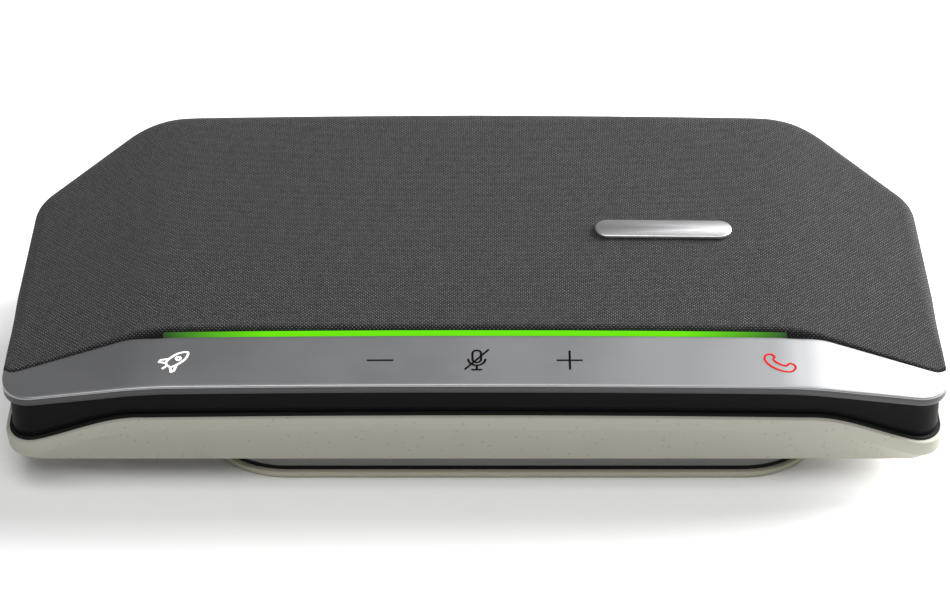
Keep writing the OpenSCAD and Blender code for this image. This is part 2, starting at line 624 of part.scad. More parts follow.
// a round lead that follows a list of points
function tangent(path, i) = unit(path[min(i + 1, len(path) - 1)] - path[max(i - 1, 0)]);
function tube_ring(path, i, r, n) =
  let (t = tangent(path, i), u = unit(cross(t, [0.13, 0.21, 1])), v = cross(t, u))
  [for (k = [0:n - 1]) path[i] + r * (cos(360 * k / n) * u + sin(360 * k / n) * v)];
module tube(path, r, n = 8) {
  k = len(path);
  polyhedron(
    points = [for (i = [0:k - 1]) each tube_ring(path, i, r, n)],
    faces = concat(side_faces(n, k - 1),
      [for (i = [1:n - 2]) [0, i + 1, i]],
      [for (i = [1:n - 2]) [(k - 1) * n, (k - 1) * n + i, (k - 1) * n + i + 1]]),
    convexity = 6);
}
lead_r = 0.8;
lead_y = bay_y0 - 3.5;
module battery_lead() color([0.75, 0.12, 0.1]) tube([
  [-bay_x0 - 4, bay_y0 - 0.1, floor_z + 7], [-bay_x0 - 4, bay_y0 - 1.5, floor_z + 7],
  [-bay_x0 - 2.5, bay_y0 - 3, floor_z + 6], [-bay_x0 + 1, lead_y, floor_z + 4.5],
  [-32, lead_y, floor_z + 3.2], [-16, lead_y - 0.5, floor_z + 2.6], [0, lead_y, floor_z + 2.4],
  [16, lead_y - 0.5, floor_z + 2.6], [32, lead_y, floor_z + 3.2], [bay_x0 - 3, lead_y, floor_z + 5],
  [bay_x0 - 0.5, lead_y, floor_z + 8], [bay_x0 + 1.8, bay_y0 - 1.8, board_top - 0.5],
  [bay_x0 + 2.2, bay_y0 - 1.2, board_top + 1], [bay_x0 + 2.4, bay_y0 + 0.6, board_top + 1.2],
  [bay_x0 + 2.4, bay_y0 + 2.6, board_top + 1.2]], lead_r);
module speaker_lead() color([0.1, 0.1, 0.1]) tube([
  [box_x + 0.1, bay_y0 + 24, box_top_z - 4], [box_x + 1, bay_y0 + 24, box_top_z - 4],
  [bay_x0 - 0.4, bay_y0 + 24.6, box_top_z - 3.7], [bay_x0 + 1.2, bay_y0 + 26, board_top + 1.7],
  [bay_x0 + 2.2, bay_y0 + 28, board_top + 1.2], [bay_x0 + 4, bay_y0 + 29.5, board_top + 1.1],
  [bay_x0 + 6.2, bay_y0 + 30, board_top + 1.1]], lead_r);
module antenna() color([0.8, 0.6, 0.25])
  translate([-half_w + side_bow + band_in + 0.6, side_y - 10, rim_z - 1]) cube([0.5, 24, 4.5]);

// ---- speaker ----
box_mid = (box_y0 + box_y1) / 2;
box_depth = box_y1 - box_y0;
driver_hole = driver_r - 2.4;
cone_r = driver_r * cone_share;
coil_r = driver_r * coil_share;
rad_mid = (driver_r + box_x) / 2 + 0.2;
roll_w = 2.4;
rad_rim = 2;
module at_driver(z) translate([0, box_mid, z]) children();
module at_radiator(s, z) translate([s * rad_mid, box_mid, z]) children();
module rad_shape(grow) race_track(2 * (rad_x + grow), rad_l + 2 * grow);

module speaker_box() color([0.13, 0.13, 0.14]) difference() {
  at_driver(box_low) slab(2 * box_x, box_depth, 4, box_top_z - box_low);
  at_driver(box_low + box_wall)
    slab(2 * (box_x - box_wall), box_depth - 2 * box_wall, 2, box_top_z - box_low - 2 * box_wall);
  at_driver(box_top_z - box_wall - 1) cylinder(r = driver_hole, h = 5);
  for (s = [-1, 1])
    at_radiator(s, box_top_z - box_wall - 1) linear_extrude(5) rad_shape(roll_w + 0.1);
  for (a = screw_angles) at_driver(box_top_z - 6) rotate([0, 0, a])
    translate([driver_r - 1.2, 0, 0]) cylinder(r = small_r * 0.75 + 0.05, h = 7);
}

frame_t = 1.5;
magnet_z = box_low + box_wall + 0.2;
back_plate = 1;
magnet_t = 2.6;
front_plate = 1.4;
motor_top = magnet_z + back_plate + magnet_t + front_plate;
pole_r = coil_r - 0.6;
// how far the magnet reaches out from the pole
magnet_w = driver_r * 0.3;
coil_out = coil_r + 0.3;
coil_in = coil_r - 0.25;
cone_low = motor_top + 2.6;
cone_high = box_top_z + 0.35;
basket_low = motor_top + 0.02;
module speaker_basket() color([0.2, 0.2, 0.21]) at_driver(0) difference() {
  rotate_extrude() polygon([
    [coil_out + 1.5, basket_low], [pole_r + magnet_w + 0.5, basket_low],
    [pole_r + magnet_w + 1, basket_low + 1.2],
    [driver_hole - 0.1, box_top_z - 1], [driver_hole - 0.1, box_top_z + 0.02],
    [driver_r, box_top_z + 0.02],
    [driver_r, box_top_z + frame_t], [driver_hole + 0.6, box_top_z + frame_t],
    [driver_hole + 0.6, box_top_z + 0.5], [driver_hole - 1.1, box_top_z + 0.5],
    [driver_hole - 1.1, box_top_z - 0.9], [pole_r + magnet_w - 0.1, basket_low + 1.2],
    [coil_out + 1.5, basket_low + 1.2]]);
  for (a = [0:60:300]) rotate([0, 0, a + 30]) translate([driver_r * 0.4, -3, basket_low + 2.2])
    cube([driver_r, 6, box_top_z - 1.8 - basket_low - 2.2]);
  for (a = screw_angles) rotate([0, 0, a]) translate([driver_r - 1.2, 0, box_top_z - 1])
    cylinder(r = small_r * 0.75 + 0.1, h = 5);
}
module speaker_magnet() color([0.55, 0.55, 0.56]) at_driver(magnet_z) {
  cylinder(r = pole_r + magnet_w, h = back_plate);
  translate([0, 0, back_plate - 0.01]) cylinder(r = pole_r, h = magnet_t + front_plate);
  translate([0, 0, back_plate - 0.01]) difference() {
    cylinder(r = pole_r + magnet_w, h = magnet_t + front_plate);
    translate([0, 0, -1]) cylinder(r = coil_out + 1.6, h = magnet_t + 1);
    translate([0, 0, -1]) cylinder(r = coil_out + 0.3, h = 9);
  }
}
coil_low = magnet_z + back_plate + cone_travel + 0.15;
module voice_coil() color([0.72, 0.4, 0.2]) at_driver(coil_low) difference() {
  cylinder(r = coil_out, h = cone_low + 0.8 - coil_low);
  translate([0, 0, -1]) cylinder(r = coil_in, h = 20);
}
paper_t = 0.5;
module speaker_cone() color([0.12, 0.12, 0.12]) at_driver(0) rotate_extrude() polygon([
  [coil_out + 0.05, cone_low - 0.5], [coil_out + 0.5, cone_low - 0.5], [cone_r - 0.6, cone_high - paper_t],
  [cone_r, cone_high - paper_t], [cone_r, cone_high], [cone_r - 0.8, cone_high],
  [coil_out + 0.2, cone_low + 0.4], [coil_out + 0.05, cone_low + 0.4]]);
module dust_cap() color([0.16, 0.16, 0.16]) at_driver(cone_low + 1.5) rotate_extrude() polygon(concat(
  [for (a = [0:15:90]) [(coil_out + 0.9) * cos(a), 2.4 * sin(a)]],
  [for (a = [90:-15:0]) [(coil_out + 0.4) * cos(a), 1.9 * sin(a)]]));
// cross-section of a half roll between two lips, from u0 to u1
function roll_line(u0, u1, z, up) = [for (a = [180:-20:0])
  [(u0 + u1) / 2 + (u1 - u0) / 2 * cos(a), z + up * sin(a)]];
function roll_profile(u0, u1, lip, z, up, t) = concat(
  [[u0 - lip, z]], roll_line(u0, u1, z, up - t / 2), [[u1 + lip, z], [u1 + lip, z + t]],
  [for (i = [9:-1:0]) roll_line(u0, u1, z + t, up)[i]], [[u0 - lip, z + t]]);
module speaker_surround() color([0.05, 0.05, 0.05]) at_driver(0) rotate_extrude()
  polygon(roll_profile(cone_r, driver_hole - 0.7, 0.6, box_top_z + 0.55, 0.8, 0.25));
// eight pleats between the coil and the basket's wall
spider_step = (pole_r + magnet_w - 0.05 - coil_out - 0.1) / 8;
module speaker_spider() color([0.7, 0.55, 0.3]) at_driver(0) rotate_extrude() polygon(concat(
  [for (i = [0:8]) [coil_out + 0.1 + i * spider_step, cone_low - 1.25 + (i % 2) * 0.4]],
  [for (i = [8:-1:0]) [coil_out + 0.1 + i * spider_step, cone_low - 0.95 + (i % 2) * 0.4]]));
module speaker_screws() color([0.3, 0.3, 0.3])
  for (a = screw_angles) at_driver(box_top_z + frame_t + 0.02)
    rotate([0, 0, a]) translate([driver_r - 1.2, 0, 0]) mirror([0, 0, 1])
      screw(small_r * 0.75, 4.5, 1.1, 0.5);

module radiator_frames() color([0.2, 0.2, 0.21]) for (s = [-1, 1]) at_radiator(s, box_top_z + 0.02)
  difference() {
    linear_extrude(0.8) rad_shape(roll_w + rad_rim);
    translate([0, 0, -1]) linear_extrude(4) rad_shape(roll_w - 0.5);
  }
module radiator(s) color([0.14, 0.14, 0.15]) at_radiator(s, box_top_z) {
  translate([0, 0, 0.2]) linear_extrude(0.6) rad_shape(0);
  translate([0, 0, -1.2]) linear_extrude(1.41) rad_shape(-1.5);
}
module radiator_roll(s) color([0.05, 0.05, 0.05]) at_radiator(s, box_top_z + 0.85) {
  linear_extrude(0.3) difference() {
    rad_shape(roll_w + 0.4);
    rad_shape(-0.6);
  }
  translate([0, 0, 0.29]) linear_extrude(0.5) difference() {
    rad_shape(roll_w - 0.6);
    rad_shape(0.3);
  }
}
module radiator_left() radiator(-1);
module radiator_right() radiator(1);
module radiator_left_surround() radiator_roll(-1);
module radiator_right_surround() radiator_roll(1);

// ---- ports and rear buttons ----
port_back = band_back - 0.2;
module usb_a_port() color([0.78, 0.78, 0.8]) {
  along_y(usb_a_x, port_back, usb_a_z, usb_a.y) difference() {
    square([usb_a.x, usb_a.z], center = true);
    square([usb_a.x - 0.6, usb_a.z - 0.6], center = true);
  }
  along_y(usb_a_x, port_back - usb_a.y + 1, usb_a_z, 1)
    square([usb_a.x - 0.2, usb_a.z - 0.2], center = true);
  along_y(usb_a_x, port_back - 1, usb_a_z + 0.9, usb_a.y - 1.5) square([11, 1.8], center = true);
}
module usb_c_port() color([0.78, 0.78, 0.8]) {
  along_y(usb_c_x, port_back, usb_c_z, usb_c.y) difference() {
    race_track(usb_c.x, usb_c.z);
    race_track(usb_c.x - 0.6, usb_c.z - 0.6);
  }
  along_y(usb_c_x, port_back - usb_c.y + 1, usb_c_z, 1) race_track(usb_c.x - 0.2, usb_c.z - 0.2);
  along_y(usb_c_x, port_back - 0.8, usb_c_z, usb_c.y - 1.3) square([6.7, 0.7], center = true);
}
key_travel = 0.6;
key_inner = half_d - 0.7 - band_in;
key_flange = 0.8;
key_stem = 1.2;
module rear_key(i) color([0.14, 0.14, 0.15]) {
  along_y(key_xs[i], band_back + key_proud, key_z, band_back + key_proud - key_inner + 0.3)
    race_track(key_w, key_h);
  along_y(key_xs[i], key_inner - 0.29, key_z, key_flange) race_track(key_w + 1.6, key_h + 1);
  along_y(key_xs[i], key_inner - 0.28 - key_flange, key_z, key_stem) circle(1);
}
module power_button() rear_key(0);
module pair_button() rear_key(1);
module link_button() rear_key(2);
switch_face = key_inner - 0.28 - key_flange - key_stem - key_travel - 0.1;
switch_d = 1.6;
module button_switches() color([0.25, 0.25, 0.26]) for (x = key_xs)
  along_y(x, switch_face, key_z, switch_d) square([4, 3.4], center = true);
module button_board() color([0.05, 0.3, 0.18])
  along_y((key_xs[0] + key_xs[2]) / 2, switch_face - switch_d - 0.02, key_z - 1, 1)
    square([2 * key_pitch + 8, 8], center = true);

bottom_tray();
foot_neck();
foot_seal();
foot_base();
foot_pad();
foot_screws();
cord_inlet();
mid_band();
housing_gasket();
top_frame();
top_grille();
fabric_cover();
touch_bar();
light_guide();
led_strip();
badge();
touch_board();
mic_boots();
mic_capsules();
main_board();
shield_cans();
board_chips();
board_screws();
touch_ribbon();
battery_pack();
battery_bracket();
battery_lead();
speaker_box();
speaker_basket();
speaker_magnet();
speaker_cone();
voice_coil();
dust_cap();
speaker_surround();
speaker_spider();
speaker_screws();
radiator_frames();
radiator_left();
radiator_right();
radiator_left_surround();
radiator_right_surround();
speaker_lead();
usb_a_port();
usb_c_port();
power_button();
pair_button();
link_button();
button_switches();
button_board();
case_screws();
antenna();
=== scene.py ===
import json
import math

import bmesh
import bpy
import numpy as np
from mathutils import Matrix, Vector
from mathutils.geometry import delaunay_2d_cdt


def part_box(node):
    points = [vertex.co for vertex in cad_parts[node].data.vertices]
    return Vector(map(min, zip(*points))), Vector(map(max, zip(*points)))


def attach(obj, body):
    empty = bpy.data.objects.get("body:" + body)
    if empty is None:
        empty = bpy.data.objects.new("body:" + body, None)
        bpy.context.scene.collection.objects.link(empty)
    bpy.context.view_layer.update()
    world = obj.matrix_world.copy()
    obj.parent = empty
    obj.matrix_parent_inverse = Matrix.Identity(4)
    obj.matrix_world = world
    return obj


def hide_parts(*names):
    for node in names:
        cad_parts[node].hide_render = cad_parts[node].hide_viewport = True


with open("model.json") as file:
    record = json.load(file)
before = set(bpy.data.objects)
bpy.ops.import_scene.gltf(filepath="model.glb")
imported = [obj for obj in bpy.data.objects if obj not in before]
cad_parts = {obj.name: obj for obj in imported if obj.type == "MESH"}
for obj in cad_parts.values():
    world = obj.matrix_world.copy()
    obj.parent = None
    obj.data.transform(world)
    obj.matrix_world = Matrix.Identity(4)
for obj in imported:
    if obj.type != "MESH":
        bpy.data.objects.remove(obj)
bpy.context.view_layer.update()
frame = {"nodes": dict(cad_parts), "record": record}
mm = 0.001
record = frame["record"]
print("frame loaded:", len(frame["nodes"]), "nodes")

# camera, floor and light
view = {"elevation": 35.0, "distance": 0.672, "lens": 107.5, "targetHeight": 0.0197}


def makeCamera():
    cameraData = bpy.data.cameras.new("tableCamera")
    cameraData.lens = view["lens"]
    cameraData.sensor_width = 36
    cameraData.clip_start = 0.05
    cameraData.clip_end = 20
    camera = bpy.data.objects.new("tableCamera", cameraData)
    bpy.context.scene.collection.objects.link(camera)
    e = math.radians(view["elevation"])
    back = Vector((0, -math.cos(e), math.sin(e)))
    camera.location = Vector((0, 0, view["targetHeight"])) + back * view["distance"]
    camera.rotation_mode = "QUATERNION"
    camera.rotation_quaternion = (-back).to_track_quat("-Z", "Y")
    bpy.context.scene.camera = camera


makeCamera()

# the case's plan, in mm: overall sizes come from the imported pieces, the rest repeats the case's own shape
trayLow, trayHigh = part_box("bottom_tray")
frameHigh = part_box("top_frame")[1]
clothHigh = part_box("fabric_cover")[1]
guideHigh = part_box("light_guide")[1]
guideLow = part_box("light_guide")[0]
plan = {
    "halfWidth": trayHigh.x / mm, "halfDepth": trayHigh.y / mm,
    "wingStart": 73.0, "wingSoft": 6.0, "wingFall": 0.15, "lipFall": 0.12, "crown": 0.6,
    "frontRadius": 8.0, "backRadius": 20.0, "sideBow": 1.0, "clothCornerRadius": 3.0,
    "barTaper": 9.0, "barSlope": math.tan(math.radians(9.8)), "barEdge": 0.45,
    "guideGap": 0.15, "guideWidth": (guideHigh.y - guideLow.y) / mm,
    "underside": trayLow.z / mm, "rimFall": 7.2, "stripHeight": 3.6, "topRadius": 4.0,
    "frameInset": 0.4, "stations": 170,
}
clothLine = guideHigh.y / mm + plan["guideGap"]
clothCornerLine = clothLine - plan["barTaper"]
lipHeight = frameHigh.z / mm - plan["crown"]
rimHeight = trayHigh.z / mm - plan["crown"]
clothFront = lipHeight + plan["barEdge"] + (clothLine + plan["halfDepth"]) * plan["barSlope"] + 0.2
clothRun = plan["halfDepth"] - plan["frameInset"] - plan["topRadius"] - clothLine
topHeight = round(clothHigh.z / mm, 1)
clothSlope = (topHeight - plan["crown"] - clothFront) / clothRun


def smoothStep(t):
    t = np.clip(t, 0, 1)
    return t * t * (3 - 2 * t)


def wingOut(x):
    # distance along a wing, with its start eased over wingSoft
    soft = plan["wingSoft"]
    over = np.abs(x) - plan["wingStart"]
    eased = (over + soft) ** 2 / (4 * soft)
    return np.where(over < -soft, 0, np.where(over > soft, over, eased))


def crowned(x):
    return plan["crown"] * (1 - np.minimum(1, np.abs(x) / plan["wingStart"]) ** 2)


def lipTop(x):
    return lipHeight + crowned(x) - plan["lipFall"] * wingOut(x)


def rimTop(x):
    over = np.maximum(0, np.abs(x) - plan["wingStart"])
    fall = smoothStep((over - 2) / (plan["halfWidth"] - plan["wingStart"] - 3))
    return rimHeight + crowned(x) - plan["rimFall"] * fall


def barTop(x, y):
    return lipTop(x) + plan["barEdge"] + (y + plan["halfDepth"]) * plan["barSlope"]


def clothTop(x, y):
    return clothFront + crowned(x) + (y - clothLine) * clothSlope - plan["wingFall"] * wingOut(x)


def edgeRadius(y):
    return 0.8 + (plan["topRadius"] - 0.8) * smoothStep((y - clothCornerLine - 2) / 22)


def bend(a, b, c, r, n=28):
    a, b, c = (np.array(p, float) for p in (a, b, c))
    u = (a - b) / np.linalg.norm(a - b)
    v = (c - b) / np.linalg.norm(c - b)
    half = math.acos(float(u @ v)) / 2
    mid = b + (u + v) / np.linalg.norm(u + v) * r / math.sin(half)
    p, q = b + u * r / math.tan(half) - mid, b + v * r / math.tan(half) - mid
    start = math.atan2(p[1], p[0])
    turn = (math.atan2(q[1], q[0]) - start + 3 * math.pi) % (2 * math.pi) - math.pi
    return [mid + r * np.array([math.cos(start + turn * i / n), math.sin(start + turn * i / n)])
            for i in range(n + 1)]


def spaced(points, count):
    # the same path with evenly spaced stations
    points = np.array(points, float)
    steps = np.r_[0, np.cumsum(np.linalg.norm(np.diff(points, axis=0), axis=1))]
    at = np.linspace(0, steps[-1], count)
    return np.c_[np.interp(at, steps, points[:, 0]), np.interp(at, steps, points[:, 1])]


w, d = plan["halfWidth"], plan["halfDepth"]
sideMid = (w, -0.24 * d)
frontCorner = (w - plan["sideBow"] * 0.6, -d)
backBend = (w - 27, d - 0.4)
sideBend = (w - plan["sideBow"], d - 28)
clothCorner = (w - plan["sideBow"] * 0.3, clothCornerLine)
bodyFront = [(0, -d), (plan["wingStart"], -d)]
bodyFront += bend(bodyFront[-1], frontCorner, sideMid, plan["frontRadius"]) + [sideMid]
bodyBack = [(0, d)] + bend((0, d), backBend, sideBend, plan["backRadius"])
bodyBack += bend(backBend, sideBend, sideMid, plan["backRadius"] * 0.6) + [sideMid]
softTurn = bend((0, clothLine), (plan["wingStart"], clothLine), clothCorner, 45)
clothFrontPath = [(0, clothLine)] + softTurn
clothFrontPath += bend((plan["wingStart"], clothLine), clothCorner, sideMid, plan["clothCornerRadius"])
clothFrontPath += [sideMid]


def closedOutline(front, back, count):
    front, back = spaced(front, count), spaced(back, count)
    flip = np.array([-1, 1])
    return np.vstack([front[:0:-1] * flip, front, back[-2::-1], back[1:-1] * flip])


bodyOutline = closedOutline(bodyFront, bodyBack, plan["stations"])
clothOutline = closedOutline(clothFrontPath, bodyBack, plan["stations"])


def normalsOf(outline):
    step = np.roll(outline, -1, 0) - np.roll(outline, 1, 0)
    step /= np.linalg.norm(step, axis=1)[:, None]
    return np.c_[-step[:, 1], step[:, 0]]      # towards the inside


def inset(outline, t):
    t = np.asarray(t, float)
    return outline + normalsOf(outline) * (t[:, None] if t.ndim else t)


def ringAt(outline, t, height):
    path = inset(outline, t)
    z = height(path[:, 0]) if callable(height) else np.full(len(path), float(height))
    return np.c_[path, z]


def lifted(base, dz):
    return lambda x: base(x) + dz


# materials
def nodeIn(tree, kind, **values):
    made = tree.nodes.new(kind)
    for key, value in values.items():
        made.inputs[key].default_value = value
    return made


def mathIn(tree, operation, *inputs):
    made = tree.nodes.new("ShaderNodeMath")
    made.operation = operation
    for i, value in enumerate(inputs):
        if isinstance(value, (int, float)):
            made.inputs[i].default_value = value
        else:
            tree.links.new(value, made.inputs[i])
    return made.outputs[0]


def mixIn(tree, amount, first, second):
    made = tree.nodes.new("ShaderNodeMix")
    made.data_type = "RGBA"
    for socket, value in ((made.inputs[0], amount), (made.inputs[6], first), (made.inputs[7], second)):
        if isinstance(value, (tuple, list)):
            socket.default_value = (*value, 1) if len(value) == 3 else value
        elif isinstance(value, (int, float)):
            socket.default_value = value
        else:
            tree.links.new(value, socket)
    return made.outputs[2]


def newMaterial(name):
    material = bpy.data.materials.new(name)
    material.use_nodes = True
    tree = material.node_tree
    return material, tree, tree.nodes["Principled BSDF"]


def makeFinish(name, colour, rough=0.5, metal=0.0, grain=0.6, depth=0.02, vary=0.12, speck=None, coat=0.0,
               glow=None, gloss=0.5):
    # moulded, painted or plated finish: soft colour drift, fine grain, optional specks; grain and depth in mm
    material, tree, shader = newMaterial(name)
    place = tree.nodes.new("ShaderNodeTexCoord").outputs["Object"]
    drift = nodeIn(tree, "ShaderNodeTexNoise", Scale=45.0, Detail=3.0)
    fine = nodeIn(tree, "ShaderNodeTexNoise", Scale=1000.0 / grain, Detail=2.0)
    tree.links.new(place, drift.inputs["Vector"])
    tree.links.new(place, fine.inputs["Vector"])
    fineShare = mathIn(tree, "MULTIPLY", fine.outputs[0], 0.35)
    both = mathIn(tree, "MULTIPLY_ADD", drift.outputs[0], 0.65, fineShare)
    dark = tuple(c * (1 - vary) for c in colour)
    light = tuple(min(1, c * (1 + vary)) for c in colour)
    shade = mixIn(tree, both, dark, light)
    if speck:
        dots = nodeIn(tree, "ShaderNodeTexVoronoi", Scale=1000.0 / speck["pitch"])
        tree.links.new(place, dots.inputs["Vector"])
        near = mathIn(tree, "LESS_THAN", dots.outputs["Distance"], speck["size"])
        lot = nodeIn(tree, "ShaderNodeSeparateColor")
        tree.links.new(dots.outputs["Color"], lot.inputs[0])
        chosen = mathIn(tree, "MULTIPLY", near, mathIn(tree, "LESS_THAN", lot.outputs[0], speck["share"]))
        shade = mixIn(tree, mathIn(tree, "MULTIPLY", chosen, speck["strength"]), shade, speck["colour"])
    tree.links.new(shade, shader.inputs["Base Color"])
    tree.links.new(mathIn(tree, "MULTIPLY_ADD", both, 0.16, rough - 0.08), shader.inputs["Roughness"])
    bump = nodeIn(tree, "ShaderNodeBump", Strength=0.6, Distance=depth * mm)
    tree.links.new(fine.outputs[0], bump.inputs["Height"])
    tree.links.new(bump.outputs[0], shader.inputs["Normal"])
    shader.inputs["Metallic"].default_value = metal
    shader.inputs["Coat Weight"].default_value = coat
    shader.inputs["Specular IOR Level"].default_value = gloss
    if glow:
        shader.inputs["Emission Color"].default_value = (*glow[0], 1)
        shader.inputs["Emission Strength"].default_value = glow[1]
    return material


weave = {"yarn": 0.45, "warp": (0.185, 0.185, 0.191), "weft": (0.010, 0.010, 0.011), "relief": 0.18}


def wovenCloth():
    # plain weave on the cloth's own flat layout, in metres, with melange yarns
    material, tree, shader = newMaterial("melangeWeave")
    flat = tree.nodes.new("ShaderNodeUVMap")
    flat.uv_map = "flatCut"
    wobble = nodeIn(tree, "ShaderNodeTexNoise", Scale=180.0, Detail=2.0)
    tree.links.new(flat.outputs[0], wobble.inputs["Vector"])
    split = tree.nodes.new("ShaderNodeSeparateXYZ")
    tree.links.new(flat.outputs[0], split.inputs[0])
    stray = mathIn(tree, "MULTIPLY", mathIn(tree, "SUBTRACT", wobble.outputs[0], 0.5), 0.9)
    across = mathIn(tree, "ADD", mathIn(tree, "MULTIPLY", split.outputs[0], 1 / (weave["yarn"] * mm)), stray)
    along = mathIn(tree, "ADD", mathIn(tree, "MULTIPLY", split.outputs[1], 1 / (weave["yarn"] * mm)), stray)
    column, row = mathIn(tree, "FLOOR", across), mathIn(tree, "FLOOR", along)
    over = mathIn(tree, "PINGPONG", mathIn(tree, "ADD", column, row), 1.0)
    humpX = mathIn(tree, "SINE", mathIn(tree, "MULTIPLY", mathIn(tree, "FRACT", across), math.pi))
    humpY = mathIn(tree, "SINE", mathIn(tree, "MULTIPLY", mathIn(tree, "FRACT", along), math.pi))
    height = mathIn(tree, "MULTIPLY", humpX, humpY)
    cell = tree.nodes.new("ShaderNodeCombineXYZ")
    tree.links.new(column, cell.inputs[0])
    tree.links.new(row, cell.inputs[1])
    each = tree.nodes.new("ShaderNodeTexWhiteNoise")
    tree.links.new(cell.outputs[0], each.inputs["Vector"])
    blotch = nodeIn(tree, "ShaderNodeTexNoise", Scale=320.0, Detail=3.0)
    tree.links.new(flat.outputs[0], blotch.inputs["Vector"])
    tone = mathIn(tree, "ADD", mathIn(tree, "MULTIPLY", each.outputs[0], 0.75), blotch.outputs[0])
    yarn = mixIn(tree, over, weave["weft"], weave["warp"])
    mixed = mixIn(tree, mathIn(tree, "MULTIPLY", tone, 0.62), (0.012, 0.012, 0.013), yarn)
    # painted shade: each yarn darkens towards its edges, where the yarns dip between one another
    mixed = mixIn(tree, mathIn(tree, "POWER", height, 1.5), (0.008, 0.008, 0.009), mixed)
    tree.links.new(mixed, shader.inputs["Base Color"])
    shader.inputs["Roughness"].default_value = 0.85
    shader.inputs["Sheen Weight"].default_value = 0.12
    shader.inputs["Specular IOR Level"].default_value = 0.15
    shader.inputs["Sheen Roughness"].default_value = 0.45
    bump = nodeIn(tree, "ShaderNodeBump", Strength=0.9, Distance=weave["relief"] * mm)
    raised = mathIn(tree, "MULTIPLY_ADD", over, 0.35, height)
    tree.links.new(raised, bump.inputs["Height"])
    tree.links.new(bump.outputs[0], shader.inputs["Normal"])
    return material


lightStripGlow = {"half": 70.5, "fade": 24.0, "strength": 1.0, "middle": (0.15, 0.80, 0.0)}


def glowingGuide():
    # lit diffuser that dies away towards both ends
    material, tree, shader = newMaterial("litDiffuser")
    place = tree.nodes.new("ShaderNodeTexCoord").outputs["Object"]
    split = tree.nodes.new("ShaderNodeSeparateXYZ")
    tree.links.new(place, split.inputs[0])
    away = mathIn(tree, "ABSOLUTE", split.outputs[0])
    left = mathIn(tree, "SUBTRACT", lightStripGlow["half"] * mm, away)
    level = mathIn(tree, "DIVIDE", left, lightStripGlow["fade"] * mm)
    clamp = nodeIn(tree, "ShaderNodeClamp")
    tree.links.new(level, clamp.inputs[0])
    amount = mathIn(tree, "SMOOTH_MIN", clamp.outputs[0], 1.0, 0.1)
    lit = mixIn(tree, amount, (0.02, 0.03, 0.02), lightStripGlow["middle"])
    tree.links.new(lit, shader.inputs["Emission Color"])
    shader.inputs["Emission Strength"].default_value = lightStripGlow["strength"]
    shader.inputs["Base Color"].default_value = (0.004, 0.02, 0.001, 1)
    shader.inputs["Roughness"].default_value = 0.7
    shader.inputs["Specular IOR Level"].default_value = 0.04
    return material


